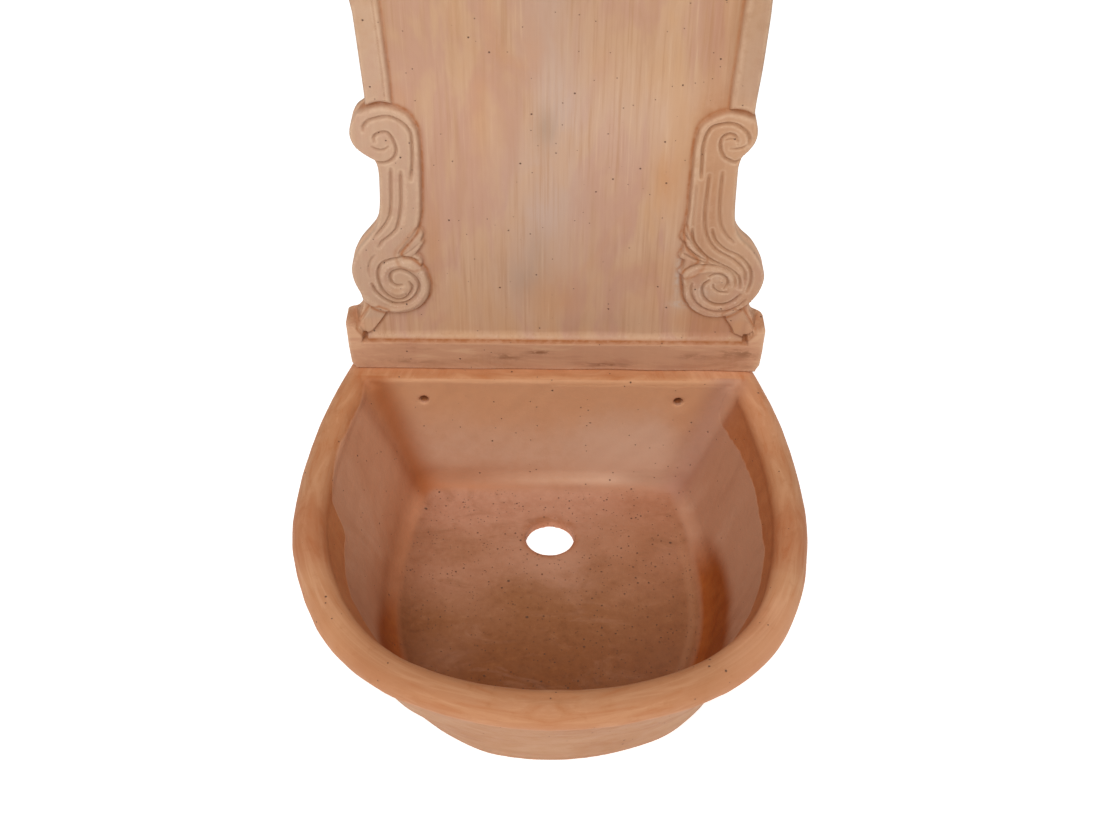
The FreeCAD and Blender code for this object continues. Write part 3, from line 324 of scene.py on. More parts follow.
def relief(x, h):
    """Depth of the panel's front at each point, with orange wash and painted shade in the recesses, brown stain and
    painted shade in the grooves, and worn crests with painted highlights.
    """
    wash, stain, crest, cut, swell = np.zeros((5,) + x.shape)
    depth = np.full(x.shape, FIELD) + wobble(x, h, 3, 90, 0.5)

    # Pilaster strips and the arch, with a broad rounded inner edge, painted shade along its foot and a painted
    # highlight on its rounding
    strip = into(STRIP_SHAPE, x, h)
    depth += (STRIP - FIELD) * quarter_round(strip, 4.5)
    wash = np.maximum(wash, 0.75 * bell(strip, -0.6, 1.5))
    crest = np.maximum(crest, 0.5 * bell(strip, 4.5, 2.5))

    # Feet of the strips, then leaves, then the scroll plates over them: shape, face, rounding, orange wash and painted
    # shade along the foot with its place
    raised_shapes = [(np.array(shape), STRIP, 1.6, 0.85, -1.1, 1.4) for shape in (LEFT_FOOT, RIGHT_FOOT)]
    raised_shapes += [(smooth(shape + shape[:1]), LEAF, 3.0, stained, -1.0, 1.8)
                      for shape, stained in ((LEFT_LEAF, 0.55), (RIGHT_LEAF, 0.8))]
    raised_shapes += [(plate_shape(line, outward), PLATE, 3.6, 1.0, -1.2, 1.9)
                      for line, outward in ((LEFT_PLATE, -260), (RIGHT_PLATE, 260))]
    for shape, face, radius, share, middle, width in raised_shapes:
        gap = into(shape, x, h)
        depth = np.maximum(depth, FIELD + (face - FIELD) * quarter_round(gap, radius))
        wash = np.maximum(wash, share * bell(gap, middle, width))
        # Painted highlight just inside the scroll plates' edges
        if face == PLATE:
            crest = np.maximum(crest, 0.9 * bell(gap, 3.0, 2.2))

    # Carved lines: brown stain and painted shade in the grooves, painted highlights beside them and on the ridges
    for line, width, rise, dark in LEFT_STROKES + RIGHT_STROKES + LEAF_STROKES + LEFT_LEAF_STROKES:
        curve = smooth(line, 1.5)
        gap = distance_to(curve, x, h, 3 * width)
        shape = bell(gap, 0, (0.66 if rise < 0 else 0.9) * width)
        ends = np.minimum(*(np.hypot(x - end[0], h - end[1]) for end in (curve[0], curve[-1])))
        shape *= 0.35 + 0.65 * ease(ends / 6)
        if rise < 0:
            cut = np.minimum(cut, CARVING_DEPTH * rise * shape)
            stain = np.maximum(stain, dark * bell(gap, 0, 0.42 * width))
            crest = np.maximum(crest, 0.9 * dark * bell(gap, 1.25 * width, 0.5 * width))
        else:
            swell = np.maximum(swell, rise * shape)
            crest = np.maximum(crest, shape * 0.8)
    depth += cut + swell

    # Plinth band with its cove, the dark groove and the notches at its ends, with painted shade in groove and notches
    # and a painted highlight at the cove's foot
    face = ease((BAND_TOP + 0.4 - h) / 1.2)
    cove = np.clip((COVE_TOP - h) / (COVE_TOP - BAND_TOP), 0, 1)
    cove_depth = FIELD + (BAND - FIELD - 1.2) * (1 - np.sqrt(1 - cove ** 2))
    between = (x > NOTCHES[0][0]) & (x < NOTCHES[1][1])
    depth = np.where(between & (h < COVE_TOP), np.maximum(depth, cove_depth), depth)
    band = BAND + wobble(x, h, 11, 60, 0.45)
    depth = np.where(h < BAND_TOP + 1, depth * (1 - face) + band * face, depth)
    for shape in (LEFT_BLOCK, RIGHT_BLOCK):
        block = into(np.array(shape, float), x, h)
        depth = np.where(block > 0, np.maximum(depth, BAND - 1.5 * (1 - quarter_round(block, 1.5))), depth)
    groove = bell(h, BAND_TOP, 1) * ((x > -198.4) & (x < 205.6))
    depth -= 1.9 * groove
    wash = np.maximum(wash, 1.3 * groove)
    # Painted highlight along the foot of the cove
    crest = np.maximum(crest, 0.45 * between * bell(h, 39, 1.3))
    for low_x, high_x in NOTCHES:
        notch = ease((x - low_x) / 1.2) * ease((high_x - x) / 1.2) * ease((h - 35.2) / 1.2) * ease((46.5 - h) / 1.2)
        depth -= 3.4 * notch
        wash = np.maximum(wash, 1.1 * notch)

    # Top faces of the end blocks run back to the wall in a hollow, painted with shade as orange wash
    for corner, inner, foot in (((-213.7, 60.4), (-201.9, 53.3), (-195, 74)),
                                ((222.4, 54.8), (211.4, 50.5), (204.6, 74))):
        gap = distance_to(straight([corner, inner, foot]), x, h, 30)
        beyond = (np.sign(x) == np.sign(corner[0])) & (h > 44) & (h < 92)
        corner_x, inner_x, foot_x = abs(corner[0]), abs(inner[0]), abs(foot[0])
        outer_side = np.abs(x) > np.interp(h, [50, 53, 74, 92], [inner_x, inner_x, foot_x, foot_x])
        above = h > np.interp(np.abs(x), [inner_x, corner_x], [inner[1], corner[1]])
        hollow = beyond & outer_side & above
        sunk = BAND * (1 - quarter_round(gap, 9)) + 1
        depth = np.where(hollow, np.minimum(depth, sunk), depth)
        wash = np.where(hollow, np.maximum(wash, 0.7), wash)
    return depth, np.clip(wash, 0, 1.3), np.clip(stain, 0, 1.2), np.clip(crest, 0, 1)


def grid(low_x, high_x, low_h, high_h, step):
    """Evenly spread points in a box, in staggered rows."""
    points = []
    for i, h in enumerate(np.arange(low_h, high_h, step * 0.87)):
        xs = np.arange(low_x + (i % 2) * step / 2, high_x, step)
        points.append(np.column_stack([xs, np.full(len(xs), h)]))
    return np.vstack(points)


def new_mesh(name, points, faces):
    """A smooth mesh object from points in metres."""
    mesh = bpy.data.meshes.new(name)
    mesh.from_pydata([tuple(p) for p in points], [], faces)
    mesh.validate()
    mesh.update()
    return show(name, mesh)


def show(name, mesh):
    """An object in the scene with the mesh, shaded smooth."""
    mesh.polygons.foreach_set("use_smooth", [True] * len(mesh.polygons))
    thing = bpy.data.objects.new(name, mesh)
    bpy.context.scene.collection.objects.link(thing)
    return thing


def set_attribute(thing, name, values):
    """A number for every point of a mesh, for its material to read."""
    layer = thing.data.attributes.new(name, "FLOAT", "POINT")
    layer.data.foreach_set("value", np.asarray(values, np.float32))


def build_panel():
    """The panel: carved front, side walls, flat back with the tap's hole and counterbore."""
    # Points of the front: close where it is carved, wide on the plain field
    fine = 0.9
    zones = [(-216, -121, 60, 322, fine), (121, 217, 60, 322, fine), (-216, 224, 0.6, 60, fine * 1.3),
             (-185, -121, 322, 470, fine * 1.6), (121, 198, 322, 470, fine * 1.6), (-195, 200, 470, 665, fine * 2.2),
             (-121, 121, 60, 470, 6)]
    x, h = np.vstack([grid(*zone) for zone in zones]).T
    keep = inside(OUTLINE, x, h) & (distance_to(OUTLINE, x, h, 6) > 0.7)
    hole = np.array([(TAP_HOLE_R * math.cos(a), TAP_HEIGHT + TAP_HOLE_R * math.sin(a))
                     for a in np.linspace(0, 2 * math.pi, 49)[:-1]])
    keep &= np.hypot(x, h - TAP_HEIGHT) > TAP_HOLE_R + 1
    edge_count, both_count = len(OUTLINE), len(OUTLINE) + len(hole)
    points = np.vstack([OUTLINE, hole, np.column_stack([x[keep], h[keep]])])
    loops = [list(range(edge_count)), list(range(both_count - 1, edge_count - 1, -1))]
    flat, _, faces, origins, _, _ = delaunay_2d_cdt([Vector(p) for p in points], [], loops, 2, 1e-4)
    x, h = np.array([(p.x, p.y) for p in flat]).T
    depth, wash, stain, crest = relief(x, h)
    raised = ease((depth - FIELD - 1) / 3) * ease((h - 60) / 8)
    rim_gap = distance_to(closed(OUTLINE), x, h, 8)
    rounding = np.where(h < 62, 1.6, 3.4)
    depth = depth - rounding * (1 - quarter_round(rim_gap, rounding)) * np.where(h < 1.5, 0.4, 1)
    # Painted highlight along the panel's rounded outer edge
    crest = np.maximum(crest, 0.7 * bell(rim_gap, 1.5, 1.8))
    depth = np.maximum(depth, 1)
    front = np.column_stack([x, -depth, h])

    # Side walls and back from the outline's and the hole's own points
    order = {made_from[0]: i for i, made_from in enumerate(origins) if made_from and made_from[0] < both_count}
    edge, ring = ([order[i] for i in numbers if i in order]
                  for numbers in (range(edge_count), range(edge_count, both_count)))
    more_points, more_faces = [], []

    def add_row(row):
        """Adds a row of points and gives their numbers."""
        first = len(front) + len(more_points)
        more_points.extend(row)
        return list(range(first, first + len(row)))

    def join(rows):
        """Joins each row of points to the next by a wall."""
        for upper, lower in zip(rows[:-1], rows[1:]):
            for i in range(len(upper)):
                j = (i + 1) % len(upper)
                more_faces.append((upper[i], upper[j], lower[j], lower[i]))

    edge_rows = [edge] + [add_row([(x[i], -depth[i] * level, h[i]) for i in edge]) for level in (0.5, 0)]
    bore_y = -COUNTERBORE_DEPTH
    wide = [(x[i] * COUNTERBORE_R / TAP_HOLE_R, (h[i] - TAP_HEIGHT) * COUNTERBORE_R / TAP_HOLE_R + TAP_HEIGHT)
            for i in ring]
    rings = [ring, add_row([(x[i], bore_y, h[i]) for i in ring])]
    rings += [add_row([(px, y, ph) for px, ph in wide]) for y in (bore_y, 0)]
    join(edge_rows)
    join(rings)
    back = edge_rows[-1] + rings[-1]
    back_points = [more_points[i - len(front)] for i in back]
    loops = [list(range(len(edge))), list(range(len(back) - 1, len(edge) - 1, -1))]
    _, _, back_faces, back_from, _, _ = delaunay_2d_cdt([Vector((px, ph)) for px, _, ph in back_points], [],
                                                        loops, 2, 1e-5)
    more_faces += [tuple(back[back_from[i][0]] for i in reversed(face)) for face in back_faces]

    metres = np.vstack([front, np.array(more_points)]) * MM + (0, 0, RIM_TOP)
    panel = new_mesh("panel_carved", metres, [tuple(f) for f in faces] + more_faces)
    smooth_count = len(faces) + 2 * len(edge)
    polygons = panel.data.polygons
    polygons.foreach_set("use_smooth", [i < smooth_count for i in range(len(polygons))])

    # Numbers for the material: on the front, and the same one all over the walls and the back
    band = ease((BAND_TOP + 3 - h) / 5) + ease((np.abs(x - 4.3) - 196) / 8) * ease((66 - h) / 10)
    numbers = {name: (patches(spots, x, h), 0) for name, spots in PANEL_SPOTS.items()}
    numbers.update(band=(np.clip(band, 0, 1), 0.5), raised=(raised * np.where(x < 0, 0.70, 0.35), 0),
                   stain=(stain, 0), edge=(np.zeros(len(front)), 1), wash=(wash, 0.05), crest=(crest, 0))
    for name, (values, beyond) in numbers.items():
        set_attribute(panel, name, np.concatenate([values, np.full(len(more_points), beyond)]))
    return panel


# Basin: the rim's outer line in plan
RIM_HALF = 247.0
RIM_WIDE_Y = -216.0
RIM_REACH = 255.5
RIM_SIDE_R = 330.0
RIM_BACK_R = 714.0
RIM_TURNS = (25.0, 65.0)

# Its floor, and its section: wall faces at the levels where they start, and how far they run in below
INNER_FLOOR_Z = -125.0
DRAIN_Y = -122.0
ROLL_FOOT_Z, BODY_INSET, BODY_RUN, BODY_HEIGHT = -3.0, 15.0, 61.0, 136.0
CORE_TOP_Z, CORE_INSET, CORE_RUN, CORE_HEIGHT = 13.5, 33.0, 51.0, 138.5
FIXING_X = 136.0

# Its leaning: the front corners to the right, the base forward, back at the left, and to the right
CORNER_SHIFT, BASE_FORWARD, BASE_BACK, BASE_SHIFT = 3.0, 4.0, 6.0, 3.0

# Pale and soiled places on the floor: place across, distance from the wall, half width, half depth, strength
FLOOR_SPOTS = {
    "pale": [(2, 162, 40, 26, 0.75), (18, 190, 34, 22, 0.40), (128, 140, 16, 22, 0.35), (-38, 132, 18, 18, 0.40),
             (-104, 282, 30, 24, 0.30)],
    "soiled": [(62, 112, 34, 24, 0.50), (42, 134, 18, 14, 0.30), (-80, 205, 24, 36, 0.35), (78, 160, 26, 22, 0.20),
               (-160, 150, 20, 60, 0.30)],
}

# Upper edge of the slip on the inner wall: distance from the wall plane, and level
LEFT_SLIP_TOP = pairs(30, 27, 40, 27, 71, 20, 121, 22, 151, 23.5, 189, 21.5, 208, 13.6, 217, -12.5, 225, -19.8, 254,
    -20.2, 276, -19.2, 303, -24.4, 311, -42, 315, -70, 330, -100)
RIGHT_SLIP_TOP = pairs(40, 22, 44, 19, 46, 2.4, 47.3, -8.5, 53.8, -16.6, 79.7, -13, 115.6, -9.2, 142.6, -7.1, 168,
    -5.7, 201.5, -7.4, 233.7, -5.3, 260.7, 0.3, 292, -3.8, 325, -9, 350, -25, 400, -60)

# Lower edge of the slip, where the bare clay of the hollow above the floor begins
LEFT_BARE_TOP = pairs(180, -130, 200, -123, 213, -110, 252, -97, 280, -84, 310, -70, 360, -46, 400, -30)
RIGHT_BARE_TOP = pairs(112, -130, 118, -122, 124, -108, 162, -89.5, 205, -77, 245, -70, 279, -63.5, 325, -46, 360,
    -30, 400, -20)


def rim_line():
    """The rim's outer line in plan as closed points, a chain of tangent arcs mirrored left and right."""
    turn_a, turn_b = (math.radians(t) for t in RIM_TURNS)
    cos_a, sin_a, cos_b, sin_b = math.cos(turn_a), math.sin(turn_a), math.cos(turn_b), math.sin(turn_b)
    across = RIM_SIDE_R - RIM_HALF - RIM_SIDE_R * cos_a
    along = RIM_REACH - RIM_SIDE_R * sin_a
    scale = (cos_b - cos_a) * (1 - sin_b) + cos_b * (sin_b - sin_a)
    corner_r = (across * (1 - sin_b) + cos_b * along) / scale
    front_r = ((cos_b - cos_a) * along - (sin_b - sin_a) * across) / scale
    side_centre = np.array([RIM_HALF - RIM_SIDE_R, RIM_WIDE_Y])
    corner_centre = side_centre + (RIM_SIDE_R - corner_r) * np.array([cos_a, -sin_a])
    front_centre = corner_centre + (corner_r - front_r) * np.array([cos_b, -sin_b])
    arcs = [(np.array([RIM_HALF - RIM_BACK_R, RIM_WIDE_Y]), RIM_BACK_R, -25, 0),
            (side_centre, RIM_SIDE_R, 0, RIM_TURNS[0]), (corner_centre, corner_r, *RIM_TURNS),
            (front_centre, front_r, RIM_TURNS[1], 90)]
    half = np.array([middle + radius * np.array([math.cos(angle), -math.sin(angle)])
                     for middle, radius, first, last in arcs
                     for angle in np.radians(np.linspace(first, last, 24)[:-1])])
    return np.vstack([half, half[::-1] * np.array([-1, 1])])


def softened_basin():
    """The frame's own basin with an even mesh and softened edges."""
    work = bmesh.new()
    work.from_mesh(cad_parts["basin"].data)
    bmesh.ops.remove_doubles(work, verts=work.verts, dist=1e-6)
    rough = bpy.data.meshes.new("basin_rough")
    work.to_mesh(rough)
    work.free()
    holder = bpy.data.objects.new("basin_rough", rough)
    bpy.context.scene.collection.objects.link(holder)
    remesh = holder.modifiers.new("even", "REMESH")
    remesh.mode = "VOXEL"
    remesh.voxel_size = 0.0021
    soften = holder.modifiers.new("soften", "SMOOTH")
    soften.factor = 0.5
    soften.iterations = 4
    graph = bpy.context.evaluated_depsgraph_get()
    mesh = bpy.data.meshes.new_from_object(holder.evaluated_get(graph))
    mesh.name = "basin_thrown"
    bpy.data.objects.remove(holder)
    return show("basin_thrown", mesh)


def build_basin():
    """The basin: the frame's own shape, softened and made uneven as by hand, with its finishes as numbers."""
    thing = softened_basin()
    mesh = thing.data
    place, normal = np.empty((2, len(mesh.vertices), 3))
    mesh.vertices.foreach_get("co", place.ravel())
    mesh.vertices.foreach_get("normal", normal.ravel())
    place /= MM
    x, y, z = place.T    # they follow every later move of the points
    inset = into(rim_line(), x, y, 400)

    # How far each point lies inside the middle of the wall
    outer_face = np.where(z > ROLL_FOOT_Z, 0, BODY_INSET + BODY_RUN * (ROLL_FOOT_Z - z) / BODY_HEIGHT)
    inner_face = np.where(z > CORE_TOP_Z, CORE_INSET, CORE_INSET + CORE_RUN * (CORE_TOP_Z - z) / CORE_HEIGHT)
    inward = inset - (outer_face + inner_face) / 2

    # Handmade unevenness: the rim wavers, the walls are pressed by hand; back, foot, holes and drain stay true
    free = ease((-y - 6) / 20) * ease((z + 128) / 14)
    push = wobble(x, y + z, 21, 120, 0.40) + wobble(x - z, y, 22, 45, 0.16)
    holes = np.minimum(np.hypot(x - FIXING_X, z), np.hypot(x + FIXING_X, z))
    drain = np.hypot(x, y - DRAIN_Y)
    free *= ease((holes - 8) / 8)
    free *= ease((drain - 30) / 12)
    place += normal * (push * free)[:, None]

    # The front leans a little to the right, and the base is fuller in the middle and on the right
    forward = ease((-y - 250) / 120) * ease((drain - 30) / 60)
    place[:, 0] += forward * CORNER_SHIFT * ease((z + 60) / 50)
    base = ease((4 - inward) / 8) * ease((-z - 80) / 45) * ease((-y - 220) / 120)
    place[:, 1] -= base * (BASE_FORWARD * ease((x + 95) / 45) - BASE_BACK * bell(x, -120, 26))
    place[:, 0] += base * BASE_SHIFT * ease((x - 60) / 60)
    box_low, box_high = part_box("basin")
    place = np.clip(place, np.array(box_low) / MM, np.array(box_high) / MM)
    mesh.vertices.foreach_set("co", (place * MM).ravel())
    mesh.update()

    # Distances that the material turns into finishes, all in millimetres
    out = -y

    def along(left, right):
        """Level of a line on the inner wall, which is another one on each side."""
        return np.where(x < 0, np.interp(out, *np.array(left, float).T), np.interp(out, *np.array(right, float).T))

    inward = np.where((z < INNER_FLOOR_Z - 2) & (drain > 30), -30, inward)
    indoors = (inward > 0) & (z > INNER_FLOOR_Z - 3) & (out > 38)
    # Painted shade in the inner back corners, for the material
    crease = np.where(x < 0, 1, 0.75) * bell(np.hypot(np.abs(x) - (178 + 0.31 * z), y + 47 - 0.06 * z), 0, 18)
    numbers = {
        "slip": np.where(indoors, np.minimum(along(LEFT_SLIP_TOP, RIGHT_SLIP_TOP) - z, 60), -30),
        "bare": np.where(indoors, along(LEFT_BARE_TOP, RIGHT_BARE_TOP) - z, -30),
        "crease": np.where(indoors, crease, 0),
        "back_wall": ease((62 - out) / 12) * ease((out - 28) / 6) * ease((200 + 0.31 * z - np.abs(x)) / 10),
        "inward": inward, "level": z, "inset": inset, "out": out, "side": x, "facing_up": normal[:, 2],
        "drain": drain,
    }
    numbers.update({name: patches(spots, x, out) for name, spots in FLOOR_SPOTS.items()})
    for name, values in numbers.items():
        set_attribute(thing, name, values)
    return thing


class Nodes:
    """Short way to write a material's nodes."""

    def __init__(self, name):
        self.material = bpy.data.materials.new(name)
        self.material.use_nodes = True
        self.tree = self.material.node_tree
        self.shader = self.tree.nodes["Principled BSDF"]
        self.place = self.add("ShaderNodeTexCoord").outputs["Object"]

    def add(self, kind, inputs=None, **settings):
        node = self.tree.nodes.new(kind)
        for key, value in settings.items():
            setattr(node, key, value)
        for key, value in (inputs or {}).items():
            self.put(node.inputs[key], value)
        return node

    def put(self, socket, value):
        """Gives a socket its value: another socket, the name of one of the mesh's attributes, or a constant."""
        if isinstance(value, str):
            value = self.attribute(value)
        if isinstance(value, bpy.types.NodeSocket):
            self.tree.links.new(value, socket)
        else:
            socket.default_value = value

    def noise(self, scale, detail=6, roughness=0.55, distortion=0, stretch=None, offset=(0, 0, 0), where=None):
        """Noise over the part's own millimetres, or stretched, or over other coordinates."""
        if stretch:
            where = self.add("ShaderNodeMapping", {"Vector": self.place, "Scale": stretch,
                                                   "Location": offset}).outputs["Vector"]
        return self.add("ShaderNodeTexNoise", {"Vector": where or self.place, "Scale": scale, "Detail": detail,
                                               "Roughness": roughness, "Distortion": distortion}).outputs["Fac"]

    def ramp(self, value, *stops):
        """Colour that eases from stop to stop."""
        node = self.add("ShaderNodeValToRGB", {"Fac": value})
        band = node.color_ramp
        band.interpolation = "EASE"
        while len(band.elements) < len(stops):
            band.elements.new(0.5)
        for element, (place, colour) in zip(band.elements, stops):
            element.position = place
            element.color = colour + (1,)
        return node.outputs["Color"]

    def span(self, value, low, high, new_low=0, new_high=1):
        """Smooth step from new_low at low to new_high at high."""
        node = self.add("ShaderNodeMapRange", {"Value": value, "From Min": low, "From Max": high,
                                               "To Min": new_low, "To Max": new_high})
        node.interpolation_type = "SMOOTHSTEP"
        return node.outputs["Result"]

    def math(self, operation, first, second=0):
        node = self.add("ShaderNodeMath", operation=operation)
        self.put(node.inputs[0], first)
        self.put(node.inputs[1], second)
        return node.outputs[0]

    def times(self, first, *others):
        for other in others:
            first = self.math("MULTIPLY", first, other)
        return first

    def plus(self, first, second):
        return self.math("ADD", first, second)

    def larger(self, first, second):
        return self.math("MAXIMUM", first, second)

    def mix(self, factor, first, second, blend="MIX"):
        node = self.add("ShaderNodeMix", data_type="RGBA", blend_type=blend)
        self.put(node.inputs["Factor"], factor)
        for key, value in (("A", first), ("B", second)):
            socket = [s for s in node.inputs if s.name == key and s.type == "RGBA"][0]
            self.put(socket, value + (1,) if isinstance(value, tuple) else value)
        return [s for s in node.outputs if s.type == "RGBA"][0]

    def attribute(self, name):
        return self.add("ShaderNodeAttribute", attribute_name=name).outputs["Fac"]

    def pits(self, scale, size, share):
        """Small round pits, 1 in a pit and 0 elsewhere; share of the cells have one."""
        cells = self.add("ShaderNodeTexVoronoi", {"Vector": self.place, "Scale": scale, "Randomness": 1})
        near = self.span(cells.outputs["Distance"], size, size * 0.45)
        pick = self.add("ShaderNodeSeparateColor", {"Color": cells.outputs["Color"]}).outputs["Red"]
        return self.times(near, self.math("LESS_THAN", pick, share))

    def bump(self, height, distance, strength=1, under=None):
        node = self.add("ShaderNodeBump", {"Height": height, "Distance": distance, "Strength": strength})
        if under is not None:
            self.put(node.inputs["Normal"], under)
        return node.outputs["Normal"]

    def finish(self, colour, roughness, normal, specular=0.5):
        """Joins the finished colour, roughness and normal to the shader."""
        for key, value in (("Base Color", colour), ("Roughness", roughness), ("Normal", normal),
                           ("Specular IOR Level", specular)):
            self.put(self.shader.inputs[key], value)
        return self.material


class Coat:
    """A colour laid on in layers."""

    def __init__(self, nodes, colour):
        self.nodes, self.colour = nodes, colour

    def paint(self, tone, *shares, blend="MIX"):
        """Lays a tone over the colour where the shares, multiplied, say so."""
        self.colour = self.nodes.mix(self.nodes.times(*shares), self.colour, tone, blend)

    def tint(self, tone, *shares):
        """Multiplies the colour by a tone in the same way."""
        self.paint(tone, *shares, blend="MULTIPLY")


# Fired clay, as albedo
PEACH = (0.515, 0.312, 0.193)
ROSE = (0.478, 0.272, 0.186)
OCHRE = (0.52, 0.306, 0.174)
TOAST = (0.42, 0.222, 0.118)
CREAM = (0.575, 0.38, 0.25)
BLOOM = (0.49, 0.335, 0.258)
ASH = (0.34, 0.225, 0.15)
SMEAR = (0.5, 0.245, 0.112)
RUST_WASH_AND_SHADE = (0.36, 0.13, 0.045)
PIT = (0.1, 0.05, 0.03)
CLAY_SPECULAR = 0.3
PIT_DEPTH = 0.0008


def panel_clay():
    """Pale brushed clay of the panel: upright streaks, blooms, wash and painted shade in the grooves, painted
    highlights on edges and crests, pinholes.
    """
    m = Nodes("clay_panel")
    hairs = m.noise(300, 4, 0.6, 0, (1, 1, 0.028))
    brushed_here = m.span(m.noise(20, 3, 0.6, 0.5, (1, 1, 0.35), (7.7, 0, 0)), 0.36, 0.6, 0.25)
    streaks = m.noise(48, 5, 0.6, 0.6, (1, 1, 0.16))
    broad = m.noise(15, 4, 0.55, 0.5, (1, 1, 0.32))
    clay = Coat(m, m.ramp(broad, (0.38, OCHRE), (0.47, PEACH), (0.56, ROSE), (0.66, PEACH)))
    clay.paint(TOAST, m.span(streaks, 0.5, 0.72, 0, 0.34))
    clay.paint(CREAM, m.span(streaks, 0.46, 0.28, 0, 0.32))
    cloud = m.span(m.noise(26, 5, 0.6, 0.6, (1, 1, 0.4)), 0.32, 0.62, 0.45)
    for name, tone in (("bloom", BLOOM), ("ash", ASH), ("smear", SMEAR)):
        clay.paint(tone, name, cloud)
    clay.paint(TOAST, m.span(hairs, 0.48, 0.7, 0, 0.55), brushed_here)
    clay.paint(CREAM, m.span(hairs, 0.45, 0.3, 0, 0.45), brushed_here)
    patch = m.noise(11, 4, 0.55, 0.8, (1, 1, 0.6), (3.1, 0, 0))
    clay.paint((0.51, 0.258, 0.13), m.span(patch, 0.54, 0.7, 0, 0.34))

    # Lighter at the foot and duller above, painted light for light that falls off with height; duller to the right,
    # greyer on the right-hand strip
    across, level = (m.add("ShaderNodeSeparateXYZ", {"Vector": m.place}).outputs[key] for key in ("X", "Z"))
    clay.tint((1.12, 1.1, 1.07), m.span(level, 0.17, 0.05))
    clay.tint((0.91, 0.9, 0.86), m.span(level, 0.32, 0.42))
    clay.tint((0.92, 0.84, 0.78), m.span(across, 0.126, 0.15))
    clay.tint((0.88, 0.92, 0.97), m.span(across, 0.15, 0.175), m.span(level, 0.33, 0.36))

    # The plinth, smeared level and scuffed dark in places
    smear = m.noise(24, 6, 0.65, 1, (0.35, 1, 1.4))
    clay.paint(m.ramp(smear, (0.36, (0.45, 0.205, 0.11)), (0.5, (0.55, 0.285, 0.165)), (0.66, (0.62, 0.36, 0.212))),
               "band", m.span(smear, 0.3, 0.62, 0.6))
    scuffed = m.span(m.noise(160, 5, 0.7, 0, (0.3, 1, 1)), 0.42, 0.56)
    clay.paint((0.26, 0.11, 0.05), "smudge", scuffed)

    # The carving: dusty faces, warm and chalky patches, painted highlights on edges and crests with pale worn crumbs,
    # dark grooves with painted shade
    rough = m.noise(110, 6, 0.65)
    clay.paint((0.48, 0.312, 0.208), "raised", m.span(rough, 0.3, 0.6, 0.5))
    clay.tint((0.86, 0.72, 0.61), "warm", m.span(rough, 0.32, 0.6, 0.4, 1.1))
    clay.paint((0.52, 0.395, 0.31), "chalk", m.span(rough, 0.4, 0.56, 0.15, 1.1))
    # Warm orange of the side walls and back, set brighter than the front as painted light
    clay.paint((0.76, 0.44, 0.26), "edge", 0.75)
    # Painted highlights on edges and crests, with worn pale crests
    clay.paint((0.62, 0.415, 0.275), "crest", m.span(rough, 0.35, 0.6, 0.1, 0.55))
    crumbs = m.times("crest", m.span(m.noise(420, 3, 0.6), 0.56, 0.66, 0, 0.55))
    clay.paint((0.66, 0.47, 0.35), crumbs, m.span(level, 0.2, 0.16, 0.15))
    uneven = m.span(m.noise(150, 3), 0.3, 0.7, 0.62, 1.15)
    # Orange wash and painted shade in the recesses
    clay.paint(RUST_WASH_AND_SHADE, "wash", uneven, 0.8)
    # Brown stain and painted shade in the carved grooves
    clay.paint((0.29, 0.135, 0.058), "stain", uneven, 0.52)
    pits = m.larger(m.pits(62, 0.075, 0.8), m.pits(140, 0.1, 0.2))
    clay.paint(PIT, pits, 0.9)

    grain = m.bump(m.noise(900, 3, 0.6), 0.0003, 0.35)
    grain = m.bump(rough, 0.0008, m.span("raised", 0, 0.5, 0.2, 0.8), grain)
    brushed = m.bump(m.plus(m.times(streaks, 0.6), m.times(hairs, 0.4)), 0.0006, 0.3, grain)
    return m.finish(clay.colour, m.span(streaks, 0.2, 0.8, 0.72, 0.9),
                    m.bump(m.math("SUBTRACT", 1, pits), PIT_DEPTH, 0.8, brushed), CLAY_SPECULAR)


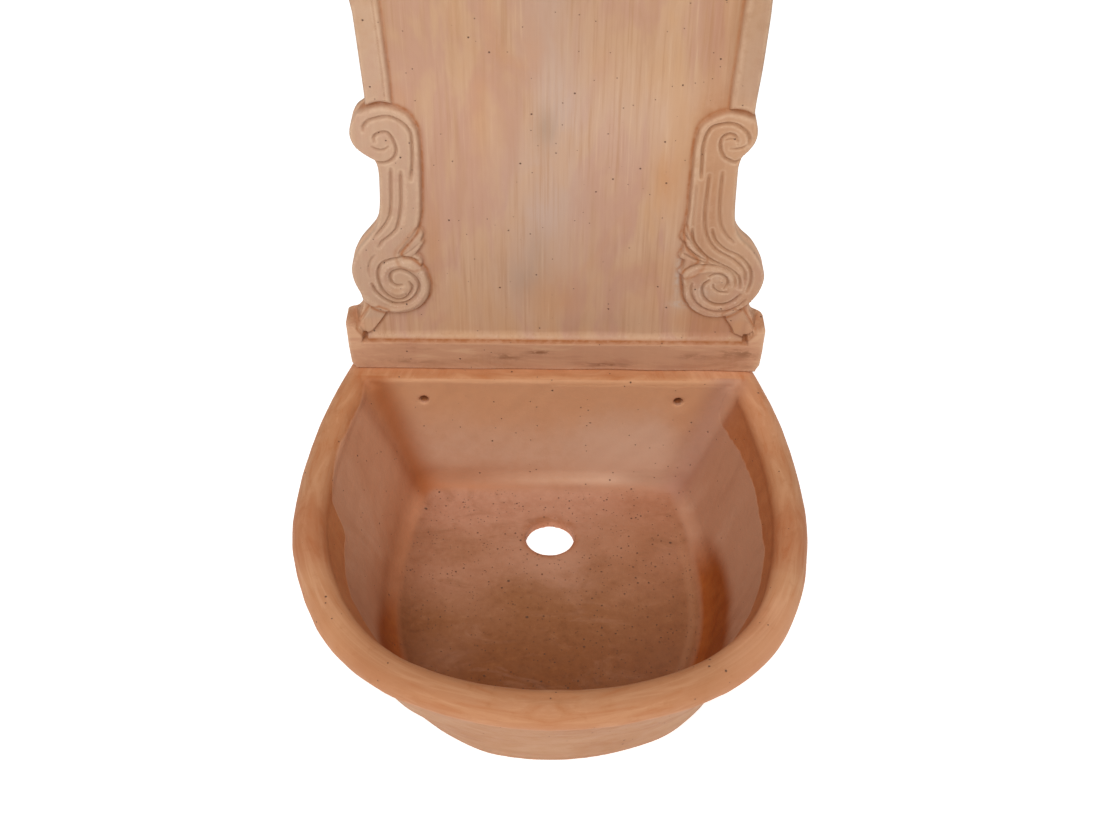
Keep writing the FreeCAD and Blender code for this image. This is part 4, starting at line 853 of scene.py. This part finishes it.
def basin_clay():
    """Warmer clay of the basin: hand-smoothed rim, slip on the walls, bare orange in the hollows, pits on the floor;
    painted shade in the corners, under the roll and on the floor's front, and a painted highlight on the floor's edge.
    """
    m = Nodes("clay_basin")
    level, inset, out, side, facing, drain, inward = (
        m.attribute(name) for name in ("level", "inset", "out", "side", "facing_up", "drain", "inward"))
    broad = m.noise(9, 5, 0.6, 0.6)
    fine = m.noise(70, 6, 0.62)
    ragged = m.noise(38, 6, 0.7, 0.5)

    # The rim, wiped along its length
    clay = Coat(m, m.ramp(broad, (0.3, (0.43, 0.18, 0.078)), (0.5, (0.47, 0.212, 0.098)),
                          (0.72, (0.5, 0.245, 0.122))))
    round_it = m.plus(out, m.math("ABSOLUTE", side))
    along = m.add("ShaderNodeCombineXYZ", {"X": m.times(inset, 0.11), "Y": m.times(level, 0.11),
                                           "Z": m.times(round_it, 0.022)}).outputs["Vector"]
    wipes = m.noise(1, 5, 0.58, 0.9, where=along)
    clay.paint((0.57, 0.3, 0.16), m.span(wipes, 0.48, 0.68, 0, 0.45))
    clay.paint((0.42, 0.148, 0.052), m.span(wipes, 0.48, 0.3, 0, 0.6))
    clay.paint((0.38, 0.145, 0.058), m.span(fine, 0.54, 0.78, 0, 0.45))

    # Its tone from the front to the back: front darker as painted shade, back lighter as painted light, ledge, then
    # flank and waist, then the right-hand side
    for near, far, tone in ((300, 450, (0.9, 0.86, 0.81)), (260, 60, (1.12, 1.09, 1.04)),
                            (42, 20, (1.12, 1.1, 1.15))):
        clay.tint(tone, m.span(out, near, far))
    clay.tint((0.96, 0.84, 0.77), m.span(out, 195, 245), m.span(out, 325, 285))
    clay.tint((1.12, 1.15, 1.17), m.span(out, 285, 335), m.span(out, 425, 375))
    clay.tint((1.1, 1.12, 1.2), m.span(side, 130, 175), m.larger(m.span(out, 320, 360), m.span(out, 190, 90)))

    # Outside under the roll: paler body, with a fine red line where the roll ends, also painted shade under the roll's
    # overhang
    outside = m.times(m.span(inward, 2, -4), m.span(level, 8, -4))
    clay.paint(m.ramp(m.noise(20, 6, 0.6, 0.6, (0.5, 0.5, 2)), (0.32, (0.34, 0.155, 0.07)), (0.5, (0.375, 0.19, 0.094)),
                      (0.68, (0.41, 0.228, 0.126))), outside, 0.88)
    line = m.times(m.span(level, -20, -14), m.span(level, -3, -9), outside, m.span(ragged, 0.38, 0.54))
    clay.paint((0.4, 0.125, 0.045), line, 0.7)

    # Inside: bare band under the rim, slip below its ragged edge, paler on the left but for its foot
    indoors = m.times(m.span(inward, 2, 9), m.span(level, 27, 15))
    left_bare = m.ramp(fine, (0.3, (0.47, 0.16, 0.052)), (0.7, (0.54, 0.215, 0.08)))
    right_bare = m.ramp(fine, (0.3, (0.35, 0.098, 0.024)), (0.7, (0.42, 0.138, 0.042)))
    clay.paint(m.mix(m.span(side, -80, 80), left_bare, right_bare), indoors, 0.8)
    edge = m.plus("slip", m.span(m.noise(17, 3, 0.5), 0.2, 0.8, -2.5, 2.5))
    slip = m.span(m.plus(edge, m.span(ragged, 0.2, 0.8, -1.2, 1.2)), -1.2, 1.8)
    slurry = Coat(m, m.ramp(m.noise(15, 5, 0.6, 0.5, (1, 1, 0.45)), (0.3, (0.43, 0.205, 0.118)),
                            (0.52, (0.5, 0.255, 0.152)), (0.75, (0.55, 0.31, 0.2))))
    left_wall = m.span(side, 0, -120)
    slurry.tint((1.22, 1.22, 1.2), left_wall, m.span(out, 330, 90))
    slurry.tint((0.9, 0.8, 0.72), left_wall, m.span(level, -55, -105))
    clay.paint(slurry.colour, slip, 0.92)

    # Back wall: warm above, slip fading in below, pink to the right, with painted shade in the low corners
    back = m.times("back_wall", m.span(facing, 0.8, 0.5))
    height = m.plus(level, m.span(broad, 0.3, 0.7, -15, 15))
    wall = Coat(m, m.mix(m.span(height, -78, 4), (0.67, 0.41, 0.27), (0.66, 0.335, 0.172)))
    wall.paint((0.57, 0.29, 0.155), m.span(fine, 0.35, 0.7, 0, 0.3))
    pink = m.times(m.span(side, -10, 90), m.span(height, 15, -62), m.span(side, 150, 118))
    wall.paint((0.73, 0.48, 0.335), pink, 0.8)
    corner = m.times(m.larger(m.span(side, 55, 110), m.span(side, -25, -100)), m.span(level, -94, -112))
    wall.tint(m.mix(m.span(side, -40, 40), (0.64, 0.55, 0.5), (0.7, 0.62, 0.58)), corner)
    clay.paint(wall.colour, back, 0.9)
    # Painted shade along the foot of the back wall
    foot = m.times(m.span(level, -80, -108), m.times(m.span(out, 72, 60), m.span(out, 28, 36)),
                   m.span(m.math("ABSOLUTE", side), 172, 160), m.span(side, 60, -110, 0.1, 0.6))
    clay.paint((0.5, 0.215, 0.105), foot)
    # Painted shade in the inner back corners
    clay.paint(m.mix(m.span(side, -60, 60), (0.39, 0.118, 0.034), (0.42, 0.205, 0.14)), "crease", 0.92)
    clay.tint((0.82, 0.73, 0.64), m.span(side, -100, -150), m.span(level, -86, -112), m.span(out, 90, 150))

    # Bare orange hollow between wall and floor, towards the front, darkened with painted shade in the fillet
    wander = m.plus("bare", m.span(m.noise(12, 3), 0.3, 0.7, -3.5, 3.5))
    start = m.plus(out, m.span(side, -60, 60, -68, 0))
    hollow = m.times(m.span(wander, -9, 17), m.span(level, -125.1, -118.5), m.span(start, 108, 195))
    clay.paint(m.ramp(fine, (0.3, (0.27, 0.057, 0.005)), (0.7, (0.33, 0.084, 0.012))), hollow,
               m.span(side, -60, 60, 0.9))

    # Floor: pinkish at the back, browner and darker towards the front where painted shadow of the front wall falls,
    # duller at both sides, scuffed
    floor = m.times(m.span(level, -118, -123.8), m.span(inward, 10, 20))
    mottled = m.noise(95, 8, 0.7)
    drift = m.noise(7, 2, 0.5, 0.3)
    scuffs = m.noise(26, 8, 0.66, 0.9, (0.7, 1.3, 1))
    front_tone = Coat(m, m.ramp(mottled, (0.3, (0.22, 0.078, 0.023)), (0.5, (0.285, 0.11, 0.038)),
                                (0.72, (0.35, 0.15, 0.06))))
    # Painted shadow of the front wall on the floor's front
    front_tone.tint((0.75, 0.57, 0.32), m.span(out, 205, 320))
    reach = m.plus(m.plus(out, m.span(drift, 0.3, 0.7, -45, 45)), m.span(side, -120, 120, 10, 45))
    back_tone = m.ramp(mottled, (0.34, (0.49, 0.235, 0.142)), (0.66, (0.535, 0.275, 0.175)))
    bottom = Coat(m, m.mix(m.span(reach, 85, 260), back_tone, front_tone.colour))
    bottom.paint((0.5, 0.26, 0.16), m.span(scuffs, 0.52, 0.7, 0, 0.22))
    bottom.paint((0.24, 0.085, 0.026), m.span(scuffs, 0.48, 0.32, 0, 0.35))
    bottom.tint((0.86, 0.76, 0.66), m.span(m.plus(side, m.span(drift, 0.3, 0.7, -30, 30)), 10, 110))
    bottom.tint((0.74, 0.64, 0.55), m.span(side, -100, -160))
    blotch = m.span(scuffs, 0.34, 0.6, 0.45)
    bottom.paint((0.5, 0.262, 0.166), "pale", blotch)
    bottom.paint((0.3, 0.12, 0.05), "soiled", blotch)
    clay.paint(bottom.colour, floor, 0.92)
    # Painted highlight on the ridge where the floor meets the fillet on the right
    painted_ridge_highlight = m.times(m.span(level, -125.2, -124.7), m.span(level, -122, -124.6),
                    m.times(m.span(side, 20, 80), m.span(out, 70, 130)))
    clay.paint((0.47, 0.225, 0.115), painted_ridge_highlight, 0.35)
    clay.paint((0.34, 0.11, 0.035), m.span(drain, 36, 27), m.span(ragged, 0.35, 0.6), 0.6)

    # Pinholes everywhere, and more of them on the floor
    sparse = m.larger(m.pits(60, 0.085, 0.6), m.pits(130, 0.12, 0.22))
    dense = m.times(floor, m.larger(m.pits(120, 0.16, 0.6), m.pits(250, 0.2, 0.45)))
    large = m.times(floor, m.pits(42, 0.085, 0.6))
    pits = m.larger(m.larger(sparse, m.times(dense, m.span(mottled, 0.4, 0.52))), large)
    clay.paint(PIT, pits, 0.85)

    grain = m.bump(m.noise(800, 3, 0.6), 0.0003, 0.35)
    layer = m.bump(slip, 0.0005, 0.8, m.bump(fine, 0.0008, 0.5, grain))
    return m.finish(clay.colour, m.span(fine, 0.2, 0.8, 0.62, 0.86),
                    m.bump(m.math("SUBTRACT", 1, pits), PIT_DEPTH, 0.8, layer), CLAY_SPECULAR)


def brass():
    """Dulled cast brass with small tarnish spots."""
    m = Nodes("brass_dull")
    colour = m.ramp(m.noise(60, 6, 0.6), (0.3, (0.42, 0.27, 0.1)), (0.55, (0.72, 0.5, 0.21)),
                    (0.8, (0.8, 0.6, 0.3)))
    m.shader.inputs["Metallic"].default_value = 1
    return m.finish(colour, m.span(m.noise(140, 5, 0.6), 0.3, 0.7, 0.24, 0.46), m.bump(m.noise(700, 3), 0.0002, 0.3))


def rubber():
    """Black rubber with dust."""
    m = Nodes("rubber_black")
    dust = m.noise(180, 5, 0.6)
    return m.finish(m.ramp(dust, (0.35, (0.02, 0.02, 0.02)), (0.75, (0.09, 0.085, 0.08))),
                    m.span(dust, 0.3, 0.7, 0.55, 0.8), m.bump(m.noise(600, 2), 0.0002, 0.3))


def fibre():
    """Red-brown pressed fibre."""
    m = Nodes("fibre_red")
    fleck = m.noise(420, 5, 0.65)
    return m.finish(m.ramp(fleck, (0.3, (0.2, 0.04, 0.03)), (0.7, (0.42, 0.12, 0.08))),
                    m.span(fleck, 0.3, 0.7, 0.7, 0.9), m.bump(fleck, 0.0002, 0.4))


def floor_finish():
    """Plain pale floor with the slightest unevenness."""
    m = Nodes("floor_pale")
    m.put(m.shader.inputs["Base Color"], m.ramp(m.noise(2, 2), (0.3, (0.9, 0.9, 0.9)), (0.7, (0.92, 0.92, 0.92))))
    for key, value in (("Roughness", 0.9), ("Specular IOR Level", 0.1), ("Emission Color", (1, 1, 1, 1)),
                       ("Emission Strength", 0.62)):
        m.shader.inputs[key].default_value = value
    return m.material


def dress(node, material):
    """Gives a node of the frame its material."""
    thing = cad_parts[node]
    thing.data.materials.clear()
    thing.data.materials.append(material)


def area_light(name, place, target, size, power):
    """A soft square light that looks at a point."""
    data = bpy.data.lights.new(name, "AREA")
    data.shape = "SQUARE"
    data.size = size
    data.energy = power
    light = bpy.data.objects.new(name, data)
    light.location = place
    light.rotation_euler = (Vector(target) - Vector(place)).to_track_quat("-Z", "Y").to_euler()
    bpy.context.scene.collection.objects.link(light)


FLOOR_HALF = 12
WORLD_LIGHT = 0.43


def make_stage():
    """Floor, world and soft lights."""
    corners = [(x * FLOOR_HALF, y * FLOOR_HALF, FLOOR_Z) for x, y in ((-1, -1), (1, -1), (1, 1), (-1, 1))]
    floor = new_mesh("floor", corners, [(0, 1, 2, 3)])
    floor.data.materials.append(floor_finish())
    world = bpy.data.worlds.new("studio")
    world.use_nodes = True
    background = world.node_tree.nodes["Background"]
    background.inputs["Color"].default_value = (1, 1, 1, 1)
    background.inputs["Strength"].default_value = WORLD_LIGHT
    bpy.context.scene.world = world
    bpy.context.scene.view_settings.view_transform = "Standard"
    area_light("key", place=(-0.35, -2.0, 1.85), target=(0, -0.15, 0.1), size=1.8, power=33)
    area_light("top", place=(0.1, -1.1, 2.6), target=(0, -0.1, 0.1), size=2.2, power=19)


PHOTO_WIDTH = 1100
FOCAL_PIXELS = 1400
SENSOR_WIDTH = 36.0
CAMERA_PLACE = Vector((-0.001, -1.172, 0.984))
CAMERA_DOWN, CAMERA_TURN = 41.5, 0.5


def make_camera():
    """The photograph's camera, which looks down and is turned a little, both in degrees."""
    pitch, roll = math.radians(CAMERA_DOWN), math.radians(CAMERA_TURN)
    ahead = Vector((0, math.cos(pitch), -math.sin(pitch)))
    right = Vector((math.cos(roll), math.sin(roll) * math.sin(pitch), math.sin(roll) * math.cos(pitch)))
    up = right.cross(ahead)
    data = bpy.data.cameras.new("camera")
    data.sensor_fit = "HORIZONTAL"
    data.sensor_width = SENSOR_WIDTH
    data.lens = FOCAL_PIXELS / PHOTO_WIDTH * SENSOR_WIDTH
    data.clip_start = 0.01
    data.clip_end = 100.0
    camera = bpy.data.objects.new("camera", data)
    camera.matrix_world = Matrix.LocRotScale(CAMERA_PLACE, Matrix((right, up, -ahead)).transposed().to_quaternion(),
                                             None)
    bpy.context.scene.collection.objects.link(camera)
    bpy.context.scene.camera = camera


panel = build_panel()
panel.data.materials.append(panel_clay())
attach(panel, "fountain")
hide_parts("back_panel")

basin = build_basin()
basin.data.materials.append(basin_clay())
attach(basin, "fountain")
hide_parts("basin")

for finish, nodes in ((brass(), ("tap_rosette", "tap_back_nut", "tap_body", "tap_bonnet", "gland_nut", "valve_jumper",
                                 "valve_nut", "tap_spindle", "tap_handle", "handle_screw")),
                      (rubber(), ("tap_seal", "valve_washer")), (fibre(), ("bonnet_washer", "gland_packing"))):
    for node in nodes:
        dress(node, finish)

make_stage()
make_camera()
